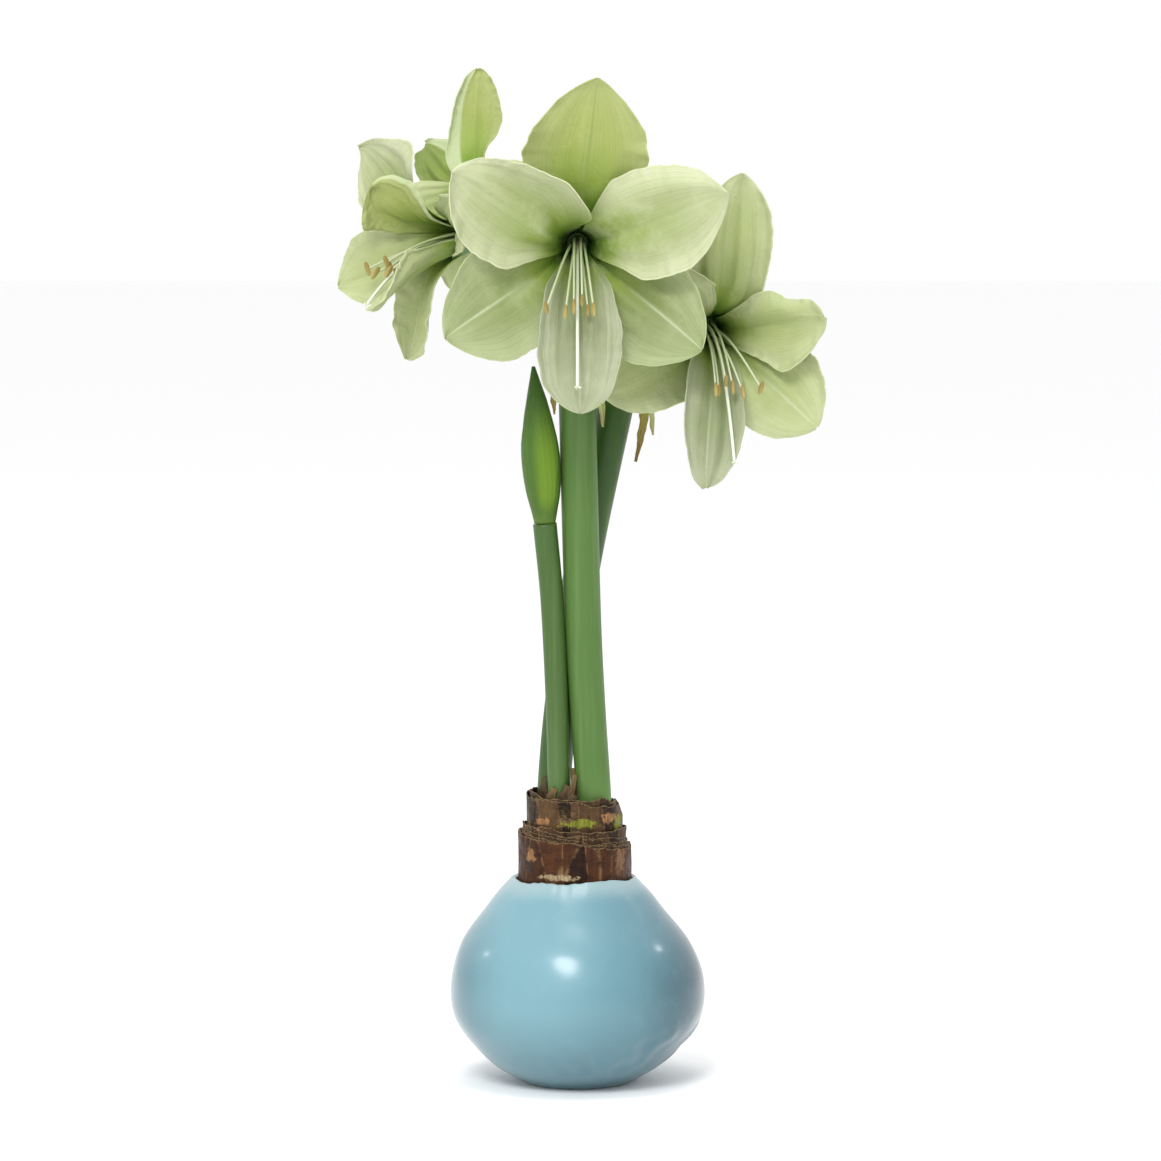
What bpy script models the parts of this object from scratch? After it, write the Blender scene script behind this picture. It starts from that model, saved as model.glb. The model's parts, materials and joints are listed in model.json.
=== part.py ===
"""A waxed amaryllis bulb in flower: a wax coat over a bulb, its papery neck, three scapes, a closed bud
and four open blooms. Metres, +Z up, the front towards -Y, and the origin on the table under the bulb."""

import math
from collections import namedtuple

import bmesh
import bpy
import numpy as np
from mathutils import Matrix, Vector

# Wax coat and bulb
WAX_THICKNESS = 0.0022
WAX_STEPS = 28
# Radius and height of the coat's outer side, from the foot to the rim round the neck.
WAX_OUTLINE = [
    (0.0232, 0.0000),
    (0.0377, 0.0090),
    (0.0526, 0.0262),
    (0.0552, 0.0425),
    (0.0500, 0.0600),
    (0.0384, 0.0755),
    (0.0316, 0.0842),
    (0.0272, 0.0890),
]
LEDGE_HEIGHT = 0.0850
# The bulb's upper part and the neck stand a little to the left of its foot.
NECK_SHIFT = -0.0012
LEAN_START, LEAN_END = 0.045, 0.078
NECK_RADIUS = 0.0184
NECK_TOP = 0.1165
NECK_EDGE = 0.0010
CLEARANCE = 0.0003

# Dry tunic sleeves round the neck, from the outside in. top is the height of the torn edge at the neck's
# middle, tilt how much higher its left side is, tear its ragged depth and tuck how far its right side
# draws in.
Sleeve = namedtuple("Sleeve", "name radius top tilt tear tuck")
TUNIC_THICKNESS = 0.0008
TUNIC_FOOT = 0.0858
TUNIC_STEPS = 28
TUNICS = [
    Sleeve("tunic_outer", 0.0243, 0.1058, 0.0030, 0.0007, 0.0),
    Sleeve("tunic_second", 0.0230, 0.1066, 0.0028, 0.0009, 0.0),
    Sleeve("tunic_middle", 0.0217, 0.1116, 0.0010, 0.0011, -0.0003),
    Sleeve("tunic_fourth", 0.0205, 0.1246, 0.0028, 0.0012, 0.0024),
    Sleeve("tunic_inner", 0.0193, 0.1262, 0.0026, 0.0016, 0.0024),
]
TUCK_START = 0.1160
TUCK_RISE = 0.0090
TUCK_FACING = 0.3

# Scapes: route from the socket in the neck to the top, radius at the bottom and at the top.
SCAPE_SIDES = 12
SCAPES = {
    "front": ([(0.0076, -0.0062, 0.1043), (0.0070, -0.0062, 0.125), (0.0042, -0.0060, 0.166),
               (0.0021, -0.0055, 0.209), (-0.0002, -0.0050, 0.300)], 0.0074, 0.0080),
    "back": ([(-0.0106, 0.0054, 0.1043), (-0.0104, 0.0060, 0.125), (-0.0060, 0.0080, 0.170),
              (0.0035, 0.0110, 0.230), (0.0180, 0.0140, 0.300)], 0.0068, 0.0080),
    "bud": ([(-0.0078, -0.0066, 0.1043), (-0.0081, -0.0067, 0.130), (-0.0089, -0.0068, 0.166),
             (-0.0109, -0.0072, 0.209), (-0.0140, -0.0080, 0.2425)], 0.0046, 0.0051),
}
SOCKET_LENGTH = 0.04
SOCKET_PLAY = 0.0009

# Bud: height over its base and radius of its outline, how far its tip leans and how proud the outer
# valve is.
BUD_OUTLINE = [(0.0000, 0.0046), (0.0050, 0.0056), (0.0130, 0.0072), (0.0230, 0.0080),
               (0.0330, 0.0077), (0.0430, 0.0062), (0.0530, 0.0041), (0.0610, 0.0021), (0.0665, 0.0007)]
BUD_LEAN = (-0.0048, -0.0015)
BUD_SIDES = 16
BUD_SEAT = 0.0009
VALVE_STEP = 0.0004

# Floral tube: what carries the tepals of a bloom, from the top of the scape to the mouth.
PEDICEL_RADIUS = 0.0028
OVARY_RADIUS = 0.0052
OVARY_LENGTH = 0.0140
TUBE_RADIUS = 0.0042
TUBE_LENGTH = 0.0100

# Stamens and pistil, standing on the end of the floral tube
FILAMENT_RADIUS = 0.0007
FILAMENT_CIRCLE = 0.0027
STYLE_EXTRA = 0.011
ANTHER_SIZE = (0.0011, 0.0011, 0.0032)
# Where each anther ends up beside the middle of the bloom and above the hang of its filament, clockwise.
ANTHER_PLACES = [(0.0020, 0.0035), (0.0068, 0.0000), (0.0044, -0.0010),
                 (-0.0050, -0.0010), (-0.0130, 0.0005), (-0.0015, 0.0005)]
STYLE_RADIUS = 0.0009
LOBE_RADIUS = 0.0005
LOBE_SPREAD = 0.0018

# Tepals
TEPAL_THICKNESS = 0.0008
TEPAL_ROWS = 10
TEPAL_COLUMNS = 7
CLAW_OVERLAP = 0.0030
CLAW_ANGLE = math.radians(10)
INNER_CUP, OUTER_CUP = 0.15, 0.10
MARGIN_ROLL = 0.06
TIP_WIDTH = 0.0018
SPREAD_LIMIT = math.radians(51)
MIDRIB_STEPS = 201

# A bloom's mouth and the foot of its pedicel are places, yaw and pitch are its facing in degrees, rise is
# how far the pedicel climbs before it bends over, droop is how far the anthers hang below the mouth, reach
# how long the filaments are and fan to which side they spread.
Bloom = namedtuple("Bloom", "mouth yaw pitch foot rise droop reach fan tepals")
# length and width in metres, angles in degrees. clock is the tepal's place round the bloom from the top,
# flare the midrib's final lean from the bloom's axis, side its sideways drift as a share of the length,
# blunt how broad the blade stays towards its tip and ruffle the depth of its margins' waves in mm.
Tepal = namedtuple("Tepal", "name inner clock length width flare twist side blunt ruffle")


def tepal_set(*rows, top_is_inner=False):
    """The six tepals of a bloom, clockwise from the top one: three outer, and three inner between them."""
    names = ("top", "upper_right", "lower_right", "bottom", "lower_left", "upper_left")
    inner = [(order % 2 == 1) != top_is_inner for order in range(len(names))]
    return [Tepal(name, whorl, *row) for name, whorl, row in zip(names, inner, rows)]


BLOOMS = {
    "front": Bloom((0.0000, -0.0140, 0.3625), 0, -6,
                  (0.0030, -0.0086, 0.3010), 0.020, 0.021, 0.050, 1, tepal_set(
        (6.5, 0.090, 0.056, 84, 0, 0.00, 1.8, 0.9),
        (70, 0.092, 0.046, 75, -6, -0.05, 2.4, 1.3),
        (123, 0.081, 0.050, 77, 0, 0.06, 2.6, 1.0),
        (179, 0.091, 0.036, 68, 0, 0.00, 4.5, 0.8),
        (242, 0.081, 0.050, 77, 0, -0.06, 2.6, 1.0),
        (300, 0.088, 0.047, 70, 6, 0.06, 2.6, 1.5))),
    "left": Bloom((-0.0490, 0.0120, 0.3640), -56, -6,
                 (-0.0026, -0.0010, 0.3010), 0.020, 0.009, 0.040, 1, tepal_set(
        (348, 0.050, 0.042, 40, -35, 0.00, 2.4, 0.9),
        (66, 0.044, 0.026, 78, 0, 0.00, 2.4, 1.3),
        (140, 0.069, 0.030, 30, 0, 0.00, 2.6, 1.0),
        (203, 0.058, 0.028, 77, 10, -0.20, 3.4, 0.8),
        (244, 0.060, 0.040, 51, 0, 0.00, 1.7, 1.0),
        (326, 0.068, 0.044, 96, 0, -0.20, 2.8, 1.5), top_is_inner=True)),
    "upper": Bloom((-0.0455, 0.0450, 0.3860), 178, -8,
                  (-0.0040, -0.0064, 0.3010), 0.020, 0.012, 0.044, 1, tepal_set(
        (7, 0.0705, 0.026, 75, -20, -0.10, 2.8, 0.9),
        (44, 0.058, 0.028, 48, 0, 0.00, 2.2, 1.3),
        (121, 0.066, 0.038, 76, 0, 0.00, 2.4, 1.0),
        (167, 0.066, 0.030, 56, 0, 0.00, 2.4, 0.8),
        (240, 0.066, 0.038, 76, 0, 0.00, 2.4, 1.0),
        (274, 0.054, 0.030, 56, 0, 0.00, 2.2, 1.5))),
    "right": Bloom((0.0560, 0.0140, 0.3250), 10, -4,
                  (0.0180, 0.0140, 0.3012), 0.020, 0.020, 0.050, -1, tepal_set(
        (6, 0.083, 0.035, 88, 0, 0.00, 3.0, 0.9),
        (80, 0.068, 0.042, 50, 0, -0.05, 2.6, 1.3),
        (134, 0.073, 0.044, 62, 0, 0.00, 2.8, 1.0),
        (199, 0.093, 0.029, 60, 0, -0.08, 3.0, 0.8),
        (246, 0.072, 0.040, 74, 0, 0.00, 2.4, 1.0),
        (305, 0.062, 0.036, 58, 0, 0.00, 2.4, 1.5))),
}

# Withered spathe valves at the tops of the scapes: route, width and the way the flat side faces.
VALVES = {
    "front_left": ([(-0.0091, -0.0096, 0.2990), (-0.0104, -0.0106, 0.2960), (-0.0098, -0.0110, 0.2895)],
                   0.0034, (-0.5, -0.8, 0.1)),
    "front_right": ([(0.0090, -0.0087, 0.2990), (0.0106, -0.0095, 0.2940), (0.0108, -0.0098, 0.2840)],
                    0.004, (0.5, -0.8, 0.1)),
    "back_right": ([(0.0266, 0.0094, 0.2985), (0.0290, 0.0085, 0.2900), (0.0276, 0.0080, 0.2790),
                    (0.0250, 0.0078, 0.2680)], 0.0046, (0.5, -0.8, 0.1)),
    "back_left": ([(0.0278, 0.0166, 0.2985), (0.0318, 0.0166, 0.2920), (0.0328, 0.0160, 0.2790)],
                  0.006, (0.8, -0.5, 0.1)),
}

# Dry scales between the scapes, standing on the neck
SCALES = {
    "scale_middle": ([(0.0004, 0.0026, 0.1170), (0.0002, 0.0024, 0.1270), (-0.0008, 0.0016, 0.1360)],
                     0.0070, (-0.2, -1, 0)),
    "scale_left": ([(-0.0156, -0.0052, 0.1170), (-0.0154, -0.0050, 0.1270), (-0.0142, -0.0044, 0.1335)],
                   0.0056, (-1, -0.9, 0)),
}


def smoothstep(low, high, value):
    """0 below low, 1 above high, and a smooth rise between them."""
    share = np.clip((value - low) / (high - low), 0, 1)
    return share * share * (3 - 2 * share)


def smooth_route(points, spans):
    """Points on a Catmull-Rom curve through the given ones, with this many steps between each two."""
    known = [np.array(p, float) for p in points]
    known = [2 * known[0] - known[1], *known, 2 * known[-1] - known[-2]]
    route = []
    for before, start, end, after in zip(known, known[1:], known[2:], known[3:]):
        for t in np.arange(spans) / spans:
            route.append(0.5 * (2 * start + (end - before) * t
                                + (2 * before - 5 * start + 4 * end - after) * t ** 2
                                + (3 * start - before - 3 * end + after) * t ** 3))
    route.append(known[-2])
    return np.array(route)


def material(name, colour, roughness, metallic=0.0):
    made = bpy.data.materials.get(name) or bpy.data.materials.new(name)
    made.use_nodes = True
    made.diffuse_color = (*colour, 1)
    shader = made.node_tree.nodes["Principled BSDF"]
    shader.inputs["Base Color"].default_value = (*colour, 1)
    shader.inputs["Roughness"].default_value = roughness
    shader.inputs["Metallic"].default_value = metallic
    return made


def wax():
    return material("wax", (0.30, 0.53, 0.62), 0.25)


def bulb_skin():
    return material("bulb_skin", (0.20, 0.11, 0.06), 0.8)


def tunic_paper():
    return material("tunic_paper", (0.17, 0.07, 0.04), 0.6)


def scape_green():
    return material("scape_green", (0.12, 0.24, 0.07), 0.45)


def bud_green():
    return material("bud_green", (0.16, 0.27, 0.05), 0.4)


def dry_brown():
    return material("dry_brown", (0.24, 0.14, 0.06), 0.7)


def pollen_tan():
    return material("pollen_tan", (0.70, 0.72, 0.50), 0.5)


def tepal_lime():
    return material("tepal_lime", (0.60, 0.68, 0.36), 0.5)


def link(obj, paint):
    """Puts an object in the model's collection with its material."""
    obj.data.materials.append(paint)
    return settle(obj, "waxed_amaryllis")


def settle(obj, home):
    """Moves an object to the collection of this name."""
    for old in list(obj.users_collection):
        old.objects.unlink(obj)
    bpy.data.collections[home].objects.link(obj)
    return obj


def mesh_object(name, points, faces, paint):
    mesh = bpy.data.meshes.new(name)
    mesh.from_pydata([tuple(map(float, p)) for p in points], [], faces)
    mesh.update()
    obj = link(bpy.data.objects.new(name, mesh), paint)
    mesh.shade_smooth()
    return obj


def tube(name, points, radii, sides, paint):
    """A round tube along the points, with a radius at each, and closed ends."""
    curve = bpy.data.curves.new(name, "CURVE")
    curve.dimensions = "3D"
    curve.bevel_depth = 1.0
    curve.bevel_resolution = (sides - 4) // 2
    curve.use_fill_caps = True
    spline = curve.splines.new("POLY")
    spline.points.add(len(points) - 1)
    for knot, place, radius in zip(spline.points, points, radii):
        knot.co = (*map(float, place), 1)
        knot.radius = float(radius)
    return link(bpy.data.objects.new(name, curve), paint)


def turned(name, profile, steps, paint):
    """A solid of revolution from a profile that starts and ends on the axis."""
    mesh = bpy.data.meshes.new(name)
    edges = [(i, i + 1) for i in range(len(profile) - 1)]
    mesh.from_pydata([(float(r), 0, float(z)) for r, z in profile], edges, [])
    obj = link(bpy.data.objects.new(name, mesh), paint)
    screw = obj.modifiers.new("turn", "SCREW")
    screw.steps = screw.render_steps = steps
    screw.use_merge_vertices = True
    screw.merge_threshold = 0.0001
    screw.use_smooth_shade = True
    return obj


def sheet_faces(rows, columns, around=False):
    """Triangles of a grid of points, split alike all over. around joins the last column to the first."""
    faces = []
    for row in range(rows - 1):
        for column in range(columns if around else columns - 1):
            after = (column + 1) % columns
            a, b = row * columns + column, row * columns + after
            c, d = (row + 1) * columns + after, (row + 1) * columns + column
            faces += [(a, b, c), (a, c, d)]
    return faces


def blade(name, grid, thickness, paint, around=False):
    """A thin solid from a grid of points, half the thickness to each side."""
    rows, columns = grid.shape[:2]
    obj = mesh_object(name, grid.reshape(-1, 3), sheet_faces(rows, columns, around), paint)
    solidify = obj.modifiers.new("thickness", "SOLIDIFY")
    solidify.thickness = thickness
    solidify.offset = 0
    solidify.use_even_offset = True
    return obj


def as_mesh(obj):
    """Turns a curve, or a mesh with modifiers, into a plain closed mesh of the same name."""
    bpy.context.view_layer.update()
    graph = bpy.context.evaluated_depsgraph_get()
    mesh = bpy.data.meshes.new_from_object(obj.evaluated_get(graph))
    cage = bmesh.new()
    cage.from_mesh(mesh)
    bmesh.ops.remove_doubles(cage, verts=cage.verts, dist=0.00001)
    bmesh.ops.recalc_face_normals(cage, faces=cage.faces)
    cage.to_mesh(mesh)
    cage.free()
    name = obj.name
    place = obj.matrix_world.copy()
    homes = list(obj.users_collection)
    bpy.data.objects.remove(obj)
    made = bpy.data.objects.new(name, mesh)
    made.matrix_world = place
    for home in homes:
        home.objects.link(made)
    return made


def wax_side(inset):
    """The coat's outline moved inwards, from the foot up."""
    outline = smooth_route(WAX_OUTLINE, 2)
    run = np.gradient(outline, axis=0)
    run /= np.linalg.norm(run, axis=1)[:, None]
    moved = outline + inset * np.column_stack([-run[:, 1], run[:, 0]])
    moved[:, 1] = np.maximum(moved[:, 1], inset)
    return moved


def lean(solid):
    """Moves the upper part of a solid sideways, as the neck stands on the bulb."""
    for vertex in solid.data.vertices:
        vertex.co.x += NECK_SHIFT * smoothstep(LEAN_START, LEAN_END, vertex.co.z)
    return solid


def wax_coat():
    outer, inner = wax_side(0), wax_side(WAX_THICKNESS)
    profile = [(0, WAX_THICKNESS), *inner, *outer[::-1], (0, 0)]
    return lean(as_mesh(turned("wax_coat", profile, WAX_STEPS, wax())))


def socket(name, route, radius):
    """The cutter of the plain hole that a scape stands in."""
    bottom, run = Vector(route[0]), (Vector(route[1]) - Vector(route[0])).normalized()
    bpy.ops.mesh.primitive_cylinder_add(vertices=SCAPE_SIDES, depth=SOCKET_LENGTH,
                                        radius=radius + SOCKET_PLAY)
    cutter = bpy.context.object
    cutter.name = f"socket_{name}"
    middle = bottom + run * (SOCKET_LENGTH / 2 - CLEARANCE)
    cutter.matrix_world = Matrix.Translation(middle) @ run.to_track_quat("Z", "Y").to_matrix().to_4x4()
    cutter.hide_render = True
    cutter.display_type = "WIRE"
    return settle(cutter, "cutters")


def bulb():
    inset = WAX_THICKNESS + CLEARANCE
    lining = wax_side(inset)
    side = [place for place in lining if place[1] < LEDGE_HEIGHT - 0.001]
    ledge_radius = np.interp(LEDGE_HEIGHT, lining[:, 1], lining[:, 0])
    ledge = [(ledge_radius, LEDGE_HEIGHT), (NECK_RADIUS, LEDGE_HEIGHT)]
    crown = [(NECK_RADIUS, NECK_TOP - NECK_EDGE), (NECK_RADIUS - NECK_EDGE, NECK_TOP), (0, NECK_TOP)]
    profile = [(0, inset), *side, *ledge, *crown][::-1]
    body = lean(as_mesh(turned("bulb", profile, WAX_STEPS, bulb_skin())))
    for scape, (route, radius, _) in SCAPES.items():
        cut = body.modifiers.new(f"socket_{scape}", "BOOLEAN")
        cut.operation = "DIFFERENCE"
        cut.object = socket(scape, route, radius)
    return body


def tear(angle, seed):
    """A torn edge's height round a sleeve, from -1 to 1."""
    waves = [(3, 0.5), (7, 0.3), (11, 0.2)]
    return sum(size * np.sin(count * angle + seed * (count + 1.3)) for count, size in waves)


def tunic(seed, sleeve):
    angle = np.arange(TUNIC_STEPS) * 2 * math.pi / TUNIC_STEPS
    rim = sleeve.top - sleeve.tilt * np.cos(angle) + sleeve.tear * tear(angle, seed)
    heights = [np.full(TUNIC_STEPS, TUNIC_FOOT), rim]
    if sleeve.tuck > 0:
        heights.insert(1, np.full(TUNIC_STEPS, TUCK_START))
    right_side = np.clip(np.cos(angle - TUCK_FACING), 0, 1) ** 4
    rows = []
    for height in heights:
        tucked = np.clip((height - TUCK_START) / TUCK_RISE, 0, 1)
        radius = sleeve.radius - sleeve.tuck * right_side * tucked
        rows.append(np.column_stack([radius * np.cos(angle) + NECK_SHIFT, radius * np.sin(angle), height]))
    return blade(sleeve.name, np.array(rows), TUNIC_THICKNESS, tunic_paper(), around=True)


def scape(name):
    route, low, high = SCAPES[name]
    points = smooth_route(route, 3)
    radii = low + (high - low) * np.linspace(0, 1, len(points))
    return tube(f"scape_{name}", points, radii, SCAPE_SIDES, scape_green())


def bud():
    """The closed bud: one valve of the spathe wraps half way over the other."""
    base = np.array(SCAPES["bud"][0][-1]) + (0, 0, BUD_SEAT)
    outline = smooth_route(BUD_OUTLINE, 2)
    angle = np.arange(BUD_SIDES) * 2 * math.pi / BUD_SIDES
    length = BUD_OUTLINE[-1][0]
    points = []
    for rise, radius in outline:
        share = rise / length
        over = smoothstep(0, 0.35, np.cos(angle - 3.9 - 1.2 * share))
        swell = radius + VALVE_STEP * over * math.sin(math.pi * min(1, 1.1 * share))
        lean_x, lean_y = (side * share ** 1.3 for side in BUD_LEAN)
        points.append(np.column_stack([base[0] + lean_x + swell * np.cos(angle),
                                       base[1] + lean_y + 0.9 * swell * np.sin(angle),
                                       np.full(BUD_SIDES, base[2] + rise)]))
    rows = len(points)
    faces = sheet_faces(rows, BUD_SIDES, around=True)
    faces += [tuple(reversed(range(BUD_SIDES))), tuple(range((rows - 1) * BUD_SIDES, rows * BUD_SIDES))]
    return mesh_object("bud", np.concatenate(points), faces, bud_green())


def lance(name, route, width, facing):
    """A narrow hollowed dry blade along a route, with a pointed end."""
    spine = smooth_route(route, 3)
    run = np.gradient(spine, axis=0)
    run /= np.linalg.norm(run, axis=1)[:, None]
    side = np.cross(run, np.array(facing, float))
    side /= np.linalg.norm(side, axis=1)[:, None]
    out = np.cross(side, run)
    share = np.linspace(0, 1, len(spine))
    half = width / 2 * np.clip(1.15 - share ** 2, 0.15, 1)
    across = np.linspace(-1, 1, 5)
    reach = half[:, None] * across
    dip = half[:, None] * 0.35 * across ** 2
    grid = spine[:, None] + reach[..., None] * side[:, None] - dip[..., None] * out[:, None]
    return blade(name, grid, TEPAL_THICKNESS, dry_brown())


def midrib(tepal, share):
    """Distance out from the bloom's axis, distance along it and lean from it, at shares of the length."""
    fine = np.linspace(0, 1, MIDRIB_STEPS)
    claw_radius = TUBE_RADIUS + CLEARANCE + TEPAL_THICKNESS * (0.5 if tepal.inner else 1.9)
    opening = smoothstep(0.05, 0.75, fine) if tepal.inner else smoothstep(0.0, 0.7, fine)
    lean = CLAW_ANGLE + (math.radians(tepal.flare) - CLAW_ANGLE) * opening
    step = tepal.length / (MIDRIB_STEPS - 1)
    out = claw_radius + step * (np.cumsum(np.sin(lean)) - np.sin(lean[0]))
    along = -CLAW_OVERLAP + step * (np.cumsum(np.cos(lean)) - np.cos(lean[0]))
    return np.interp(share, fine, out), np.interp(share, fine, along), np.interp(share, fine, lean)


def half_width(tepal, share):
    """Half the blade's width: a narrow claw, widest past the middle, and a blunt pointed tip."""
    claw = 0.0026 if tepal.inner else 0.0036
    widest = 0.60 if tepal.inner else 0.56
    rise = np.sin(np.clip(share / widest, 0, 1) * math.pi / 2) ** 1.15
    fall = (1 - np.clip((share - widest) / (1 - widest), 0, 1) ** tepal.blunt) ** 0.8
    return np.maximum((claw + (tepal.width / 2 - claw) * rise) * fall, TIP_WIDTH / 2)


def tepal_surface(tepal, rows, columns):
    """A tepal's grid of points in its bloom's frame: +Z out of the bloom, +Y up it and +X to its right."""
    share = np.linspace(0, 1, rows)[:, None]
    across = np.linspace(-1, 1, columns)[None, :]
    out, along, lean = midrib(tepal, share)
    clock = math.radians(tepal.clock)
    radial = np.array([math.sin(clock), math.cos(clock), 0])
    sideways = np.array([math.cos(clock), -math.sin(clock), 0])
    axis = np.array([0, 0, 1])
    spine = out[..., None] * radial + along[..., None] * axis
    spine = spine + (tepal.side * tepal.length * share ** 2)[..., None] * sideways
    inward = -np.cos(lean)[..., None] * radial + np.sin(lean)[..., None] * axis
    twist = np.radians(tepal.twist) * share ** 1.5
    level = np.cos(twist)[..., None] * sideways + np.sin(twist)[..., None] * inward
    inward = np.cos(twist)[..., None] * inward - np.sin(twist)[..., None] * sideways
    half = np.minimum(half_width(tepal, share), SPREAD_LIMIT * out)
    blade_part = smoothstep(0.25, 0.75, share)
    cup = INNER_CUP if tepal.inner else OUTER_CUP
    bend = np.cos(lean) / out + cup * blade_part / half
    bend = np.where(np.abs(bend) < 1e-6, 1e-6, bend)
    reach = across * half
    flat, lift = np.sin(bend * reach) / bend, (1 - np.cos(bend * reach)) / bend
    margin = np.abs(across) ** 3 * blade_part
    wave = np.sin(2 * math.pi * (1.6 * share + 0.21 * tepal.clock) + 1.3 * np.sign(across))
    ruffle = tepal.ruffle * 0.001 * margin * wave * smoothstep(0.5, 0.85, share)
    lift = lift - MARGIN_ROLL * half * margin + ruffle
    return spine + flat[..., None] * level + lift[..., None] * inward


def bloom_frame(bloom):
    yaw, pitch = math.radians(bloom.yaw), math.radians(bloom.pitch)
    axis = Vector((math.sin(yaw) * math.cos(pitch), -math.cos(yaw) * math.cos(pitch), math.sin(pitch)))
    right = Vector((0, 0, 1)).cross(axis).normalized()
    up = axis.cross(right)
    turn = Matrix((right, up, axis)).transposed().to_4x4()
    return Matrix.Translation(Vector(bloom.mouth)) @ turn


def in_world(frame, points):
    turn = np.array(frame)
    return np.asarray(points, float) @ turn[:3, :3].T + turn[:3, 3]


def tepals(name, bloom):
    frame = bloom_frame(bloom)
    for tepal in bloom.tepals:
        grid = in_world(frame, tepal_surface(tepal, TEPAL_ROWS, TEPAL_COLUMNS))
        blade(f"{name}_tepal_{tepal.name}", grid, TEPAL_THICKNESS, tepal_lime())


def stalk(name, bloom):
    """Pedicel, ovary and floral tube of a bloom in one piece."""
    frame = np.array(bloom_frame(bloom))
    axis, mouth, foot = frame[:3, 2], np.array(bloom.mouth), np.array(bloom.foot)
    ovary = mouth - axis * (TUBE_LENGTH + OVARY_LENGTH)
    up, back = foot + (0, 0, bloom.rise), ovary - axis * bloom.rise
    share = np.linspace(0, 1, 13)[:-1, None]
    pedicel = ((1 - share) ** 3 * foot + 3 * (1 - share) ** 2 * share * up
               + 3 * (1 - share) * share ** 2 * back + share ** 3 * ovary)
    swelling = [(0.00, PEDICEL_RADIUS + 0.0006), (0.25, OVARY_RADIUS),
                (0.75, OVARY_RADIUS), (1.00, TUBE_RADIUS)]
    upper = [(ovary + axis * OVARY_LENGTH * part, radius) for part, radius in swelling]
    upper += [(mouth - axis * TUBE_LENGTH / 2, TUBE_RADIUS), (mouth, TUBE_RADIUS)]
    points = [*pedicel, *(place for place, _ in upper)]
    radii = [PEDICEL_RADIUS] * len(pedicel) + [radius for _, radius in upper]
    return tube(f"{name}_stalk", points, radii, 8, scape_green())


def arc_out(start, end, forward, fall, curl, steps):
    """A filament's points in the bloom's frame: out along +Z, down along -Y, and its end curled up."""
    share = np.linspace(0, 1, steps)[:, None]
    drop = fall * share ** 2.3 - curl * share ** 6
    x = start[0] + (end[0] - start[0]) * share ** 1.6
    y = start[1] + (end[1] - start[1]) * share ** 1.6 - drop
    return np.hstack([x, y, start[2] + forward * share])


def fuse(name, pieces):
    """Joins overlapping pieces into one solid with one union on a collection."""
    body, *others = [as_mesh(piece) for piece in pieces]
    repeats = bpy.data.collections.new(f"{name}_repeats")
    bpy.context.scene.collection.children.link(repeats)
    for other in others:
        for home in list(other.users_collection):
            home.objects.unlink(other)
        repeats.objects.link(other)
    union = body.modifiers.new("join", "BOOLEAN")
    union.operation = "UNION"
    union.operand_type = "COLLECTION"
    union.collection = repeats
    joined = as_mesh(body)
    for other in others:
        bpy.data.objects.remove(other)
    bpy.data.collections.remove(repeats)
    joined.name = name
    joined.data.shade_smooth()
    return joined


def anther(tip, run, order):
    """A long grain of pollen sac across the end of its filament."""
    bpy.ops.mesh.primitive_uv_sphere_add(segments=6, ring_count=4, radius=1)
    grain = bpy.context.object
    grain.name = f"anther_{order}"
    slant = Vector(run).to_track_quat("Z", "Y").to_matrix().to_4x4() @ Matrix.Rotation(1.1, 4, "X")
    grain.data.transform(Matrix.Translation(Vector(tip)) @ slant @ Matrix.Diagonal((*ANTHER_SIZE, 1)))
    return link(grain, pollen_tan())


def stamens(name, bloom):
    """Six drooping filaments with their anthers, on a ring round the foot of the style."""
    frame = bloom_frame(bloom)
    bpy.ops.mesh.primitive_torus_add(major_segments=12, minor_segments=4, major_radius=FILAMENT_CIRCLE,
                                     minor_radius=FILAMENT_RADIUS + 0.0001)
    ring = bpy.context.object
    ring.data.transform(frame @ Matrix.Translation((0, 0, CLEARANCE + FILAMENT_RADIUS + 0.0001)))
    pieces = [link(ring, pollen_tan())]
    for order, (beside, above) in enumerate(ANTHER_PLACES):
        angle = math.radians(30 + 60 * order) * bloom.fan
        start = (FILAMENT_CIRCLE * math.sin(angle), FILAMENT_CIRCLE * math.cos(angle),
                 CLEARANCE + FILAMENT_RADIUS)
        end = (beside * bloom.fan, above)
        forward = bloom.reach + 0.003 * math.sin(2.3 * order)
        points = in_world(frame, arc_out(start, end, forward, bloom.droop * 1.15, bloom.droop * 0.15, 6))
        radii = np.linspace(FILAMENT_RADIUS, FILAMENT_RADIUS * 0.8, len(points))
        pieces.append(tube(f"filament_{order}", points, radii, 4, pollen_tan()))
        pieces.append(anther(points[-1], points[-1] - points[-2], order))
    return fuse(f"{name}_stamens", pieces)


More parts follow.
